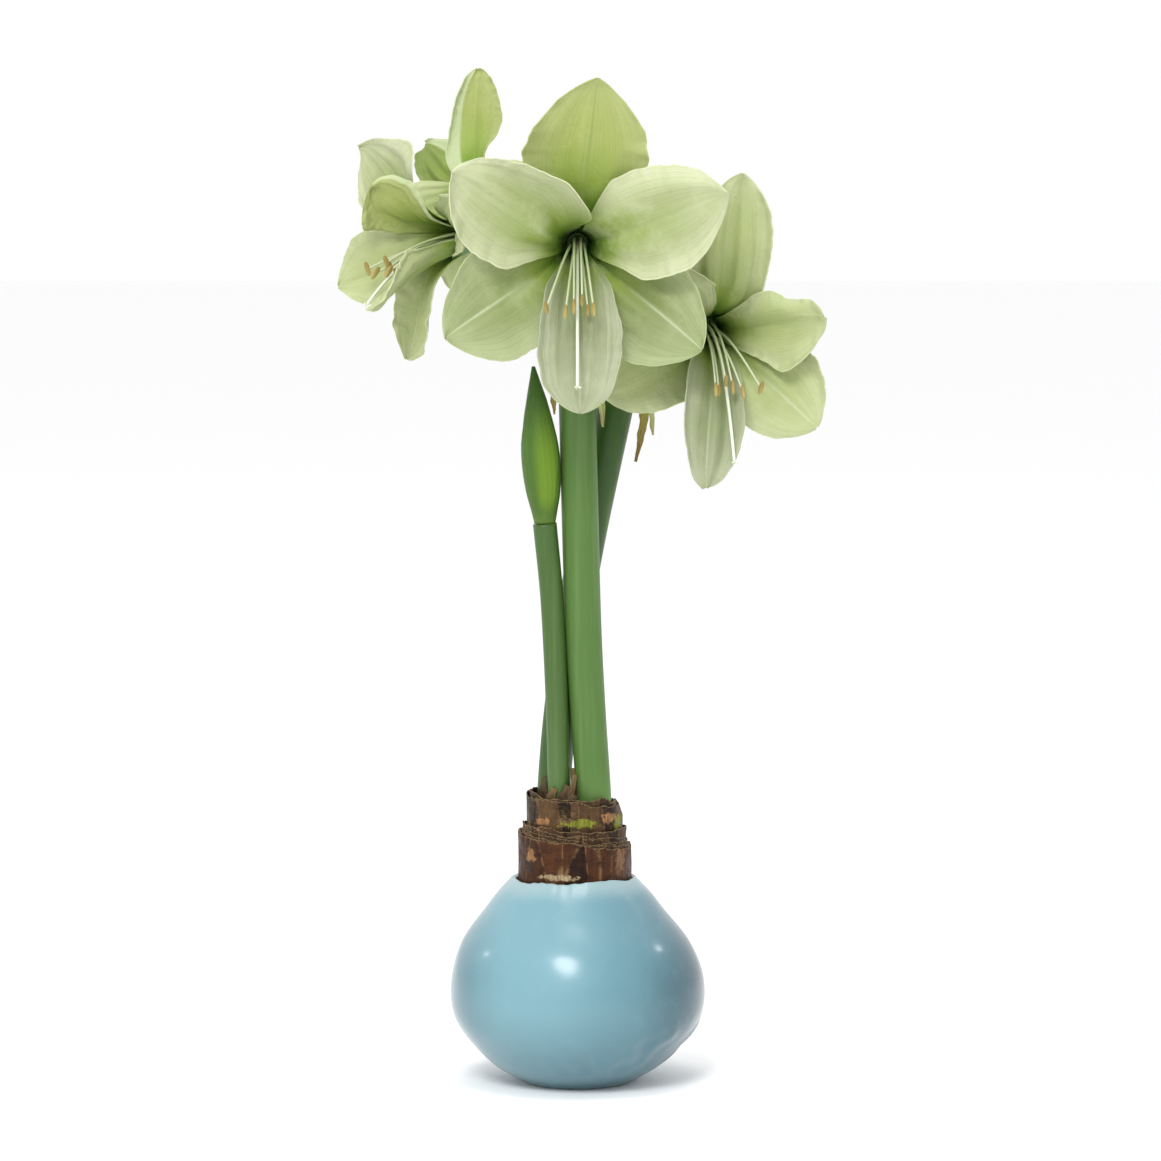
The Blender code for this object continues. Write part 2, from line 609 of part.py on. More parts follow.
def pistil(name, bloom):
    """The style, longer than the stamens, with its small lobed stigma."""
    frame = bloom_frame(bloom)
    forward = bloom.reach + STYLE_EXTRA
    route = arc_out((0, 0, 2 * CLEARANCE), (0, 0), forward, bloom.droop * 2.6, bloom.droop * 0.1, 9)
    points = in_world(frame, route)
    radii = np.linspace(STYLE_RADIUS, STYLE_RADIUS * 0.75, len(points))
    style = tube(f"{name}_style", points, radii, 6, pollen_tan())
    lobes = []
    run = Vector(points[-1] - points[-2]).normalized()
    for order in range(3):
        spread = run.orthogonal().normalized()
        spread.rotate(Matrix.Rotation(math.radians(120 * order), 3, run))
        inside = Vector(points[-1]) - run * LOBE_RADIUS * (1 + 0.2 * order)
        outside = Vector(points[-1]) + run * 0.45 * LOBE_SPREAD + spread * LOBE_SPREAD
        radii = (LOBE_RADIUS, 0.8 * LOBE_RADIUS)
        lobes.append(tube(f"lobe_{order}", [inside, outside], radii, 4, pollen_tan()))
    return fuse(f"{name}_pistil", [style, *lobes])


def build():
    for obj in list(bpy.data.objects):
        bpy.data.objects.remove(obj)
    for name in ("waxed_amaryllis", "cutters"):
        old = bpy.data.collections.get(name)
        if old:
            bpy.data.collections.remove(old)
        bpy.context.scene.collection.children.link(bpy.data.collections.new(name))
    wax_coat()
    bulb()
    for seed, sleeve in enumerate(TUNICS):
        tunic(seed, sleeve)
    for name, (route, width, facing) in SCALES.items():
        lance(name, route, width, facing)
    for name in SCAPES:
        scape(name)
    bud()
    for name, (route, width, facing) in VALVES.items():
        lance(f"valve_{name}", route, width, facing)
    for name, bloom in BLOOMS.items():
        stalk(name, bloom)
        tepals(name, bloom)
        stamens(name, bloom)
        pistil(name, bloom)


build()
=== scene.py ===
"""Looks of the waxed amaryllis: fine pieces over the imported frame, materials, lights and camera."""

import json
import math
from collections import namedtuple

import bpy
import numpy as np
from mathutils import Matrix, Vector

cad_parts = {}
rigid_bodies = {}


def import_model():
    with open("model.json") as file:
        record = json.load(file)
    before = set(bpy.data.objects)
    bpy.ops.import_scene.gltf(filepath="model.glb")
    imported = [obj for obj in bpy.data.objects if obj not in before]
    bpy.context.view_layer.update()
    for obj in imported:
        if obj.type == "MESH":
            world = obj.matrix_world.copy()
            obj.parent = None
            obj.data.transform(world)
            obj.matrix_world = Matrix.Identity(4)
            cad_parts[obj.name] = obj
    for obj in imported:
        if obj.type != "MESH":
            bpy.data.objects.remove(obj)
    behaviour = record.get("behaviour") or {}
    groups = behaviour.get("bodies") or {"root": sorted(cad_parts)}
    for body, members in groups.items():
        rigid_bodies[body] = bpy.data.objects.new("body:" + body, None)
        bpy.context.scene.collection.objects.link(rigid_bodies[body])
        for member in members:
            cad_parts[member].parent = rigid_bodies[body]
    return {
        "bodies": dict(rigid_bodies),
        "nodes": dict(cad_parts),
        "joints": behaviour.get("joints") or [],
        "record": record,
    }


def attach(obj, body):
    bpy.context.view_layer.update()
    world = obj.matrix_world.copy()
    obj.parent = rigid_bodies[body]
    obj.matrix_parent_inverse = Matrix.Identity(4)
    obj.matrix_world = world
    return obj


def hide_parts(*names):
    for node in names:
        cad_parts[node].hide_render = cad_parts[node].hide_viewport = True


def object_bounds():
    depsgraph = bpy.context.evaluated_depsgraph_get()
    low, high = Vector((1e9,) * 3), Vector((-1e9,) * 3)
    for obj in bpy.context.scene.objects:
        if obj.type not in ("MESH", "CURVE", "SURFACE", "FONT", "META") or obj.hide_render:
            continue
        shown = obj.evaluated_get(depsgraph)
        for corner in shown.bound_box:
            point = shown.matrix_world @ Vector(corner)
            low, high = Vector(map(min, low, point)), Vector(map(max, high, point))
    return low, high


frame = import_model()
cad_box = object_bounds()

# Camera
PHOTO_PIXEL = 0.00043
PHOTO_HALF = 580.5
PHOTO_MIDDLE_X = 577.5
PHOTO_FOOT_Y = 1086
CAMERA_DISTANCE = 2.2
CAMERA_ELEVATION = math.radians(5.0)
SENSOR_WIDTH = 36.0

# Floor and lights: each light's name, place, size, power and the point it faces
FLOOR_REACH = 12.0
LIGHTS = [
    ("key", (-0.36, -1.56, 1.45), 0.7, 23, (0, 0, 0.15)),
    ("top", (0.0, -0.3, 1.9), 0.8, 9, (0, 0, 0.2)),
    ("right_glint", (1.61, 0.51, 1.14), 0.16, 1.8, (0, 0, 0.05)),
    ("left_glint", (-1.78, 0.49, 0.82), 0.12, 1.2, (0, 0, 0.05)),
]

# Wax coat: its outline as radius and height, and the heights of its dents, runs and uneven rim
WAX_THICKNESS = 0.0022
WAX_STEPS = 180
WAX_OUTLINE = [(0.0232, 0.0), (0.0377, 0.009), (0.0526, 0.0262), (0.0552, 0.0425),
               (0.05, 0.06), (0.0384, 0.0755), (0.0316, 0.0842), (0.0272, 0.089)]
WAX_DENT, WAX_RUN, RIM_WAVE, RIM_RIPPLE = 0.0004, 0.0013, 0.0008, 0.0003
RIM_BORE, RIM_DEPTH, LINING_DEPTH = 0.0251, 0.003, 0.0045
RUN_FOOT, RUN_TOP = (0.003, 0.012), (0.034, 0.02)
FOOT_RELIEF, RIM_ZONE = (0, 0.01), (0.08, 0.0885)
LIP_SWELL, LIP_DROP, LIP_STEPS = 0.0007, 0.0005, 5
NECK_SHIFT = -0.0012
LEAN_START, LEAN_END = 0.045, 0.078
AXIS_RADIUS = 0.0001

# Tunics, each with the amount it is tilted, torn and tucked in on the right
Sleeve = namedtuple("Sleeve", "name radius top tilt tear tuck")
PAPER_THICKNESS = 0.0004
TUNIC_FOOT = 0.0858
TUNIC_STEPS, TUNIC_ROWS = 280, 36
TUNICS = [
    Sleeve("tunic_outer", 0.0243, 0.1058, 0.003, 0.0007, 0.0),
    Sleeve("tunic_second", 0.023, 0.1066, 0.0028, 0.0009, 0.0),
    Sleeve("tunic_middle", 0.0217, 0.1116, 0.001, 0.0011, -0.0003),
    Sleeve("tunic_fourth", 0.0205, 0.1232, 0.002, 0.0012, 0.004),
    Sleeve("tunic_inner", 0.0193, 0.1246, 0.0016, 0.0016, 0.0036),
]
TUCK_START, TUCK_RISE, TUCK_FACING = 0.116, 0.009, 0.3
EDGE_RAG, PAPER_DENT, PAPER_RIPPLE = 0.0003, 0.0002, 0.00008
EDGE_CURL, EDGE_CURL_DEPTH, MIDDLE_FLARE = 0.0003, 0.004, 0.0005
EDGE_UV = 0.01
# The cut edges of the thin inner skins, which show inside the outer sleeve: how far out and how high each is
SKINS = [(0.0007, -0.0003), (-0.0004, 0.001), (-0.0007, 0.002), (-0.0009, 0.003)]
SKIN_DEPTH, SKIN_ROWS = 0.007, 12

# Scapes and bud
SCAPE_SIDES = 56
SCAPES = {
    "front": ([(0.0076, -0.0062, 0.1043), (0.007, -0.0062, 0.125), (0.0042, -0.006, 0.166),
               (0.0021, -0.0055, 0.209), (-0.0002, -0.005, 0.3)], 0.0074, 0.008),
    "back": ([(-0.0106, 0.0054, 0.1043), (-0.0104, 0.006, 0.125), (-0.006, 0.008, 0.17),
              (0.0035, 0.011, 0.23), (0.018, 0.014, 0.3)], 0.0068, 0.008),
    "bud": ([(-0.0078, -0.0066, 0.1043), (-0.0081, -0.0067, 0.13), (-0.0089, -0.0068, 0.166),
             (-0.0109, -0.0072, 0.209), (-0.014, -0.008, 0.2425)], 0.0046, 0.0051),
}
BUD_OUTLINE = [(0.0, 0.0046), (0.005, 0.0056), (0.013, 0.0072), (0.023, 0.008),
               (0.033, 0.0077), (0.043, 0.0062), (0.053, 0.0041), (0.061, 0.0021), (0.0665, 0.0007)]
BUD_LEAN = (-0.0048, -0.0015)
BUD_SIDES = 96
BUD_SEAT = 0.0009
BUD_RIB, BUD_RIBS = 0.0001, 22
BUD_WIDEST, BUD_FLATNESS = 0.008, 0.9
VALVE_STEP = 0.0004

# Blooms
PEDICEL_RADIUS, PEDICEL_SWELL = 0.0028, 0.0009
OVARY_RADIUS, OVARY_LENGTH = 0.0052, 0.014
TUBE_RADIUS, TUBE_LENGTH = 0.0042, 0.01
CLEARANCE = 0.0003
FILAMENT_RADIUS, FILAMENT_CIRCLE = 0.0007, 0.0027
STYLE_EXTRA, STYLE_RADIUS = 0.011, 0.0009
ANTHER_LENGTH, ANTHER_RADIUS = 0.0032, 0.0011
LOBE_RADIUS, LOBE_SPREAD = 0.0005, 0.0018
RING_SEAT, STAMEN_STAGGER = 0.0001, 0.003
PEDICEL_SIDES, STYLE_SIDES, FILAMENT_SIDES, SMALL_SIDES = 32, 14, 12, 10
STYLE_STEPS, FILAMENT_STEPS, RING_STEPS, LOBE_STEPS = 50, 40, 40, 8
ANTHER_PLACES = [(0.002, 0.0035), (0.0068, 0.0), (0.0044, -0.001),
                 (-0.005, -0.001), (-0.013, 0.0005), (-0.0015, 0.0005)]
THROAT_STEPS = 72
WEB_REACH, WEB_ROWS, WEB_SEAT = 0.013, 12, 0.001

# Tepals
TEPAL_SEAT, TEPAL_THICKNESS = 0.0008, 0.0005
TEPAL_ROWS, TEPAL_COLUMNS = 100, 51
BOX_EASE = 0.0012
CLAW_OVERLAP = 0.003
CLAW_ANGLE = math.radians(10)
INNER_CUP, OUTER_CUP = 0.15, 0.1
INNER_CLAW, OUTER_CLAW = 0.0026, 0.0036
INNER_WIDEST, OUTER_WIDEST = 0.6, 0.56
FURROW_SPREAD, HOOK_SPREAD = 0.1, 0.003
MARGIN_ROLL = 0.06
SWELL_SPREAD = 0.17
TIP_WIDTH = 0.0018
SPREAD_LIMIT = math.radians(51)
MIDRIB_STEPS = 401
# Heights of the relief over a tepal's plain form
FOLD, PLEAT, FURROW, DIMPLE = 0.002, 0.00014, 0.0007, 0.0008
RUFFLE, FRILL, FINE_FRILL, HOOK = 0.001, 0.0015, 0.0004, 0.0012

Bloom = namedtuple("Bloom", "mouth yaw pitch foot rise droop reach fan tepals")
# How a tepal's sides differ from its plain outline, its left one first: the degrees its margins are rolled
# towards its inner face, the shares its sides are swollen by, and where along the blade they are.
Turn = namedtuple("Turn", "rolls swells place", defaults=((0, 0), 0.5))
Tepal = namedtuple("Tepal", "name inner clock length width flare twist side blunt ruffle turn paint",
                   defaults=(Turn((12, 12)), "petal"))


def tepal_set(*rows, top_is_inner=False):
    """The six tepals of a bloom, clockwise from the top one: three outer, and three inner between them."""
    names = ("top", "upper_right", "lower_right", "bottom", "lower_left", "upper_left")
    inner = [(order % 2 == 1) != top_is_inner for order in range(len(names))]
    return [Tepal(name, whorl, *row) for name, whorl, row in zip(names, inner, rows)]


BLOOMS = {
    "front": Bloom((0.0, -0.014, 0.3625), 0, -6,
                  (0.003, -0.0086, 0.301), 0.02, 0.021, 0.05, 1, tepal_set(
        (6.5, 0.09, 0.056, 84, 0, 0.0, 1.8, 0.9, Turn((10, 14)), "petal_olive_shaded"),
        (70, 0.092, 0.046, 75, -6, -0.05, 2.4, 1.3, Turn((-26, 22), (0.1, -0.1), 0.35), "petal_pale"),
        (123, 0.081, 0.05, 77, 0, 0.06, 2.6, 1.0, Turn((40, 16)), "petal_ribbed"),
        (179, 0.091, 0.036, 68, 0, 0.0, 4.5, 0.8, Turn((24, 24)), "petal_cream_shaded"),
        (242, 0.081, 0.05, 77, 0, -0.06, 2.6, 1.0, Turn((14, 30)), "petal_ribbed"),
        (300, 0.088, 0.047, 70, 6, 0.06, 2.6, 1.5, Turn((18, 24), (-0.1, 0.85), 0.38), "petal_pale"))),
    "left": Bloom((-0.049, 0.012, 0.364), -56, -6,
                 (-0.0026, -0.001, 0.301), 0.02, 0.009, 0.04, 1, tepal_set(
        (348, 0.05, 0.042, 40, -35, 0.0, 2.4, 0.9, Turn((0, -15), (0.1, 0.3)), "petal_shaded_lit_edge"),
        (66, 0.044, 0.026, 78, 0, 0.0, 2.4, 1.3),
        (140, 0.069, 0.03, 30, 0, 0.0, 2.6, 1.0),
        (203, 0.058, 0.028, 77, 10, -0.2, 3.4, 0.8, Turn((30, -20)), "petal_light"),
        (244, 0.06, 0.04, 51, 0, 0.0, 1.7, 1.0, Turn((20, 20))),
        (326, 0.068, 0.044, 96, 0, -0.2, 2.8, 1.5, Turn((-10, 10), (0, 0.45), 0.6), "petal_pale"),
        top_is_inner=True)),
    "upper": Bloom((-0.0455, 0.045, 0.386), 178, -8,
                  (-0.004, -0.0064, 0.301), 0.02, 0.012, 0.044, 1, tepal_set(
        (7, 0.0705, 0.026, 75, -20, -0.1, 2.8, 0.9, Turn((15, -95), (-0.65, 0.1), 0.4), "petal_shaded_lit_band"),
        (44, 0.058, 0.028, 48, 0, 0.0, 2.2, 1.3, Turn((30, -50)), "petal_shaded"),
        (121, 0.066, 0.038, 76, 0, 0.0, 2.4, 1.0),
        (167, 0.066, 0.03, 56, 0, 0.0, 2.4, 0.8),
        (240, 0.066, 0.038, 76, 0, 0.0, 2.4, 1.0),
        (274, 0.054, 0.03, 56, 0, 0.0, 2.2, 1.5))),
    "right": Bloom((0.056, 0.014, 0.325), 10, -4,
                  (0.018, 0.014, 0.3012), 0.02, 0.02, 0.05, -1, tepal_set(
        (6, 0.083, 0.035, 88, 0, 0.0, 3.0, 0.9, Turn((30, 45))),
        (80, 0.068, 0.042, 50, 0, -0.05, 2.6, 1.3, Turn((-20, 30), (-0.55, 0.1), 0.78)),
        (134, 0.073, 0.044, 62, 0, 0.0, 2.8, 1.0, Turn((15, 12)), "petal_light"),
        (199, 0.093, 0.029, 60, 0, -0.08, 3.0, 0.8, Turn((30, 30), (0.08, -0.12), 0.7), "petal_cream_shaded"),
        (246, 0.072, 0.04, 74, 0, 0.0, 2.4, 1.0),
        (305, 0.062, 0.036, 58, 0, 0.0, 2.4, 1.5))),
}

# Stem greens: at the foot, low down and at the top, and the stripes
STEM_GREENS = {
    "front": ((0.105, 0.205, 0.038), (0.064, 0.14, 0.026), (0.068, 0.145, 0.026), (0.115, 0.2, 0.06)),
    "back": ((0.06, 0.13, 0.025), (0.028, 0.078, 0.01), (0.026, 0.072, 0.007), (0.06, 0.125, 0.022)),
    "bud": ((0.085, 0.165, 0.033), (0.05, 0.105, 0.02), (0.042, 0.095, 0.015), (0.09, 0.16, 0.045)),
}
# Plain paints: colours at the base and the tip, roughness, and the grain's scale and depth
PLAIN_PAINTS = {
    "filament": ((0.38, 0.47, 0.19), (0.52, 0.56, 0.4), 0.4, 900, 0.0001),
    "pollen": ((0.25, 0.19, 0.055), (0.37, 0.3, 0.11), 0.85, 2500, 0.0003),
    "style": ((0.42, 0.5, 0.25), (0.66, 0.68, 0.6), 0.35, 900, 0.0001),
    "web_green": ((0.065, 0.14, 0.028), (0.14, 0.24, 0.06), 0.5, 700, 0.0001),
    # the throat's deep green, darkened further as painted shade, for the disc closing the tube and the stamen
    # ring deep in the throat
    "throat_shaded_green": ((0.03, 0.08, 0.006), (0.05, 0.11, 0.012), 0.5, 700, 0.0001),
}
# Petal paints: blade, edge and midrib colours, the midrib's share, the green's reach and where a painted lit
# stripe starts
# The olive blade and edge are painted shade: a darker copy of the tepal colour for tepal faces that lie in
# shade
SHADE_OLIVE = (0.31, 0.35, 0.1), (0.34, 0.38, 0.155)
LIGHT = (0.345, 0.395, 0.17), (0.44, 0.475, 0.28)
SOFT_RIB, GREEN_RIB = (0.5, 0.54, 0.38), (0.2, 0.28, 0.08)
PETAL_PAINTS = {
    "petal": (*LIGHT, GREEN_RIB, 0.2, 0.8),
    "petal_light": (*LIGHT, SOFT_RIB, 0.5, 0.8),
    "petal_olive_shaded": (*SHADE_OLIVE, (0.16, 0.24, 0.05), 0.45, 1.25),
    # these two also carry a painted lit stripe over a rolled margin
    "petal_shaded_lit_band": (*SHADE_OLIVE, GREEN_RIB, 0.2, 1.25, 0.42),
    "petal_shaded_lit_edge": (*SHADE_OLIVE, GREEN_RIB, 0.2, 1.25, 0.74),
    # a cream blade darkened as painted shade, for the bottom tepals
    "petal_cream_shaded": ((0.225, 0.255, 0.135), (0.37, 0.395, 0.27), SOFT_RIB, 0.3, 0.8),
    "petal_ribbed": ((0.225, 0.27, 0.105), (0.38, 0.425, 0.235), SOFT_RIB, 0.6, 1.0),
    "petal_pale": ((0.31, 0.355, 0.16), (0.5, 0.525, 0.35), SOFT_RIB, 0.05, 1.05),
    # a darker green blade, painted shade for a tepal face in shade, with a painted lit stripe along its left
    # margin
    "petal_shaded": ((0.155, 0.215, 0.045), (0.2, 0.26, 0.07), GREEN_RIB, 0.2, 1.3, -0.2),
}

# Dry blades: each one's route, width and the way it faces
BLADE_COLUMNS, BLADE_THICKNESS, BLADE_CRUMPLE = 17, 0.0004, 0.0004
BLADE_TIP, TUFT_TIP = 0.15, 0.55
VALVES = {
    "valve_front_left": ([(-0.0091, -0.0096, 0.299), (-0.0104, -0.0106, 0.296), (-0.0098, -0.011, 0.2895)],
                         0.0034, (-0.5, -0.8, 0.1)),
    "valve_front_right": ([(0.009, -0.0087, 0.299), (0.0106, -0.0095, 0.294), (0.0108, -0.0098, 0.284)],
                          0.004, (0.5, -0.8, 0.1)),
    "valve_back_right": ([(0.0266, 0.0094, 0.2985), (0.029, 0.0085, 0.29), (0.0276, 0.008, 0.279),
                          (0.025, 0.0078, 0.268)], 0.0046, (0.5, -0.8, 0.1)),
    "valve_back_left": ([(0.0278, 0.0166, 0.2985), (0.0318, 0.0166, 0.292), (0.0328, 0.016, 0.279)],
                        0.006, (0.8, -0.5, 0.1)),
    "scale_middle": ([(0.0004, 0.0026, 0.117), (0.0002, 0.0024, 0.127), (-0.0008, 0.0016, 0.136)],
                     0.007, (-0.2, -1, 0)),
    "scale_left": ([(-0.0156, -0.0052, 0.117), (-0.0154, -0.005, 0.127), (-0.0142, -0.0044, 0.1335)],
                   0.0056, (-1, -0.9, 0)),
}
# Shreds of the inner tunic at the foot of the bud's stem
TUFT = {
    "shred_left": ([(-0.0122, -0.011, 0.117), (-0.0118, -0.0122, 0.124), (-0.01, -0.0128, 0.129)],
                   0.0056, (-0.4, -1, 0.2)),
    "shred_middle": ([(-0.008, -0.0126, 0.117), (-0.0066, -0.0134, 0.124), (-0.004, -0.0128, 0.13)],
                     0.0058, (-0.2, -1, -0.1)),
    "shred_right": ([(-0.0036, -0.012, 0.117), (-0.0028, -0.0128, 0.125), (-0.0008, -0.0116, 0.1345)],
                    0.0042, (0.5, -1, 0.1)),
    "shred_front": ([(-0.006, -0.0138, 0.117), (-0.004, -0.015, 0.1215), (-0.0014, -0.0146, 0.1262)],
                    0.006, (0.2, -1, 0.4)),
    "shred_back": ([(-0.0016, -0.01, 0.117), (-0.0016, -0.0086, 0.128), (-0.0022, -0.0066, 0.137)],
                   0.004, (-0.5, -1, 0.1)),
}


def smoothstep(low, high, value):
    """0 below low, 1 above high, and a smooth rise between them."""
    share = np.clip((value - low) / (high - low), 0, 1)
    return share * share * (3 - 2 * share)


def smooth_route(points, spans):
    """Points on a Catmull-Rom curve through the given ones, with this many steps between each two."""
    known = [np.array(p, float) for p in points]
    known = [2 * known[0] - known[1], *known, 2 * known[-1] - known[-2]]
    route = []
    for before, start, end, after in zip(known, known[1:], known[2:], known[3:]):
        for t in np.arange(spans) / spans:
            route.append(0.5 * (2 * start + (end - before) * t
                                + (2 * before - 5 * start + 4 * end - after) * t ** 2
                                + (3 * start - before - 3 * end + after) * t ** 3))
    route.append(known[-2])
    return np.array(route)


def waves(seed, count, *places):
    """A smooth random field from -1 to 1: a sum of sine waves over the given places, drawn from the seed."""
    draw = np.random.default_rng(seed)
    field = 0
    weight = 0
    for order in range(count):
        size = 1 / (1 + 0.35 * order)
        phase = draw.uniform(0, 2 * math.pi)
        across = sum(place * draw.normal(0, 1 + 0.5 * order) for place in places)
        field = field + size * np.sin(phase + across)
        weight += size
    return field / weight * 1.6


def scaled(colour, share):
    return tuple(share * part for part in colour)


def blended(first, second, share):
    return tuple((1 - share) * a + share * b for a, b in zip(first, second))


# Materials

EVEN = (1, 1, 1)


class Paint:
    """A material and short calls for the nodes that colour it."""

    def __init__(self, name, roughness, **sockets):
        self.material = bpy.data.materials.new(name)
        self.material.use_nodes = True
        self.tree = self.material.node_tree
        self.shader = self.tree.nodes["Principled BSDF"]
        self.shader.inputs["Roughness"].default_value = roughness
        for socket, value in sockets.items():
            self.shader.inputs[socket.replace("_", " ")].default_value = value

    def node(self, kind, **settings):
        made = self.tree.nodes.new("ShaderNode" + kind)
        for key, value in settings.items():
            setattr(made, key, value)
        return made

    def feed(self, socket, value):
        if isinstance(value, bpy.types.NodeSocket):
            self.tree.links.new(value, socket)
        elif isinstance(value, tuple) and len(value) == 3 and socket.type == "RGBA":
            socket.default_value = (*value, 1)
        else:
            socket.default_value = value

    def place(self, stretch=EVEN, kind="Object"):
        """Coordinates stretched along the three axes."""
        mapping = self.node("Mapping")
        mapping.inputs["Scale"].default_value = stretch
        self.feed(mapping.inputs["Vector"], self.node("TexCoord").outputs[kind])
        return mapping.outputs["Vector"]

    def split(self, place):
        made = self.node("SeparateXYZ")
        self.feed(made.inputs[0], place)
        return made.outputs["X"], made.outputs["Y"], made.outputs["Z"]

    def along(self):
        """The share of the way along the piece."""
        return self.split(self.place(kind="UV"))[1]

    def noise(self, stretch, scale, detail, roughness=0.55, distortion=0.0, kind="Object"):
        made = self.node("TexNoise")
        settings = {"Vector": self.place(stretch, kind), "Scale": scale, "Detail": detail,
                    "Roughness": roughness, "Distortion": distortion}
        for socket, value in settings.items():
            self.feed(made.inputs[socket], value)
        return made.outputs["Fac"]

    def math(self, operation, *values):
        made = self.node("Math", operation=operation)
        for socket, value in zip(made.inputs, values):
            self.feed(socket, value)
        return made.outputs[0]

    def add(self, first, second):
        return self.math("ADD", first, second)

    def times(self, first, second):
        return self.math("MULTIPLY", first, second)

    def swing(self, value, reach):
        """A value from 0 to 1 carried to -reach to reach."""
        return self.math("MULTIPLY_ADD", value, 2 * reach, -reach)

    def span(self, value, low, high, to_low=0.0, to_high=1.0):
        """value from low to high carried to to_low to to_high, smoothly, and held there."""
        made = self.node("MapRange", interpolation_type="SMOOTHSTEP")
        for socket, number in zip(made.inputs, (value, low, high, to_low, to_high)):
            self.feed(socket, number)
        return made.outputs[0]

    def ramp(self, value, *stops):
        made = self.node("ValToRGB")
        elements = made.color_ramp.elements
        while len(elements) < len(stops):
            elements.new(0.5)
        for element, (position, colour) in zip(elements, stops):
            element.position = position
            element.color = (*colour, 1)
        self.feed(made.inputs[0], value)
        return made.outputs[0]

    def mix(self, share, first, second):
        made = self.node("Mix", data_type="RGBA")
        for socket, value in ((0, share), (6, first), (7, second)):
            self.feed(made.inputs[socket], value)
        return made.outputs[2]

    def over(self, colour, tint, value, low, high, most=1.0):
        """A tint laid over a colour, none of it where value is at low and most of it at high."""
        return self.mix(self.span(value, low, high, 0.0, most), colour, tint)

    def relief(self, *layers):
        """Bumps over one another. Each layer is a height, its distance and its strength."""
        normal = None
        for height, distance, strength in layers:
            made = self.node("Bump")
            made.inputs["Strength"].default_value = strength
            made.inputs["Distance"].default_value = distance
            self.feed(made.inputs["Height"], height)
            if normal is not None:
                self.feed(made.inputs["Normal"], normal)
            normal = made.outputs[0]
        return normal

    def finish(self, colour, normal, roughness=None):
        self.feed(self.shader.inputs["Base Color"], colour)
        self.feed(self.shader.inputs["Normal"], normal)
        if roughness is not None:
            self.feed(self.shader.inputs["Roughness"], roughness)
        return self.material


def wax_paint():
    """Glossy blue wax with painted shade towards its sides, darker towards its foot and hazy round its rim.
    """
    paint = Paint("wax", 0.34, Coat_Weight=0.75, Coat_Roughness=0.18, Coat_IOR=1.38, Specular_IOR_Level=0.28,
                  Subsurface_Weight=0.2, Subsurface_Scale=0.004, Subsurface_Radius=(0.5, 0.9, 1.0))
    x, _, z = paint.split(paint.place())
    cloud = paint.noise(EVEN, 22, 3)
    fine = paint.noise(EVEN, 160, 4)
    # painted shade: the blue darkens across the wax towards its right side, darkest at its right edge, and
    # darkens again at its left edge
    side = paint.add(paint.math("MULTIPLY_ADD", x, 8.6, 0.5), paint.swing(cloud, 0.05))
    blue = paint.over((0.155, 0.31, 0.36), (0.08, 0.185, 0.23), side, 0.3, 0.92)
    blue = paint.over(blue, (0.015, 0.055, 0.075), side, 0.7, 1.0)
    blue = paint.over(blue, (0.03, 0.105, 0.14), side, 0.26, -0.06)
    blue = paint.over(blue, (0.045, 0.12, 0.155), z, 0.048, 0.006, 0.42)
    rim = paint.add(z, paint.times(cloud, 0.01))
    blue = paint.over(blue, (0.36, 0.45, 0.46), rim, 0.086, 0.094, 0.55)
    blue = paint.over(blue, (0.22, 0.38, 0.43), fine, 0.5, 0.8, 0.08)
    dents = paint.noise(EVEN, 55, 3)
    return paint.finish(blue, paint.relief((dents, 0.0005, 0.2), (fine, 0.0002, 0.25)))


def spot(paint, colour, tint, centre, size):
    """Lays a ragged spot of a tint over a colour. centre is its place in space and size its half extents."""
    mapping = paint.node("Mapping")
    mapping.inputs["Location"].default_value = [-c / s for c, s in zip(centre, size)]
    mapping.inputs["Scale"].default_value = [1 / s for s in size]
    paint.feed(mapping.inputs["Vector"], paint.node("TexCoord").outputs["Object"])
    length = paint.node("VectorMath", operation="LENGTH")
    paint.feed(length.inputs[0], mapping.outputs["Vector"])
    ragged = paint.swing(paint.noise((1, 1, 1.6), 330, 5, 0.7), 1.5)
    return paint.over(colour, tint, paint.add(length.outputs["Value"], ragged), 1.15, 0.65, 0.9)


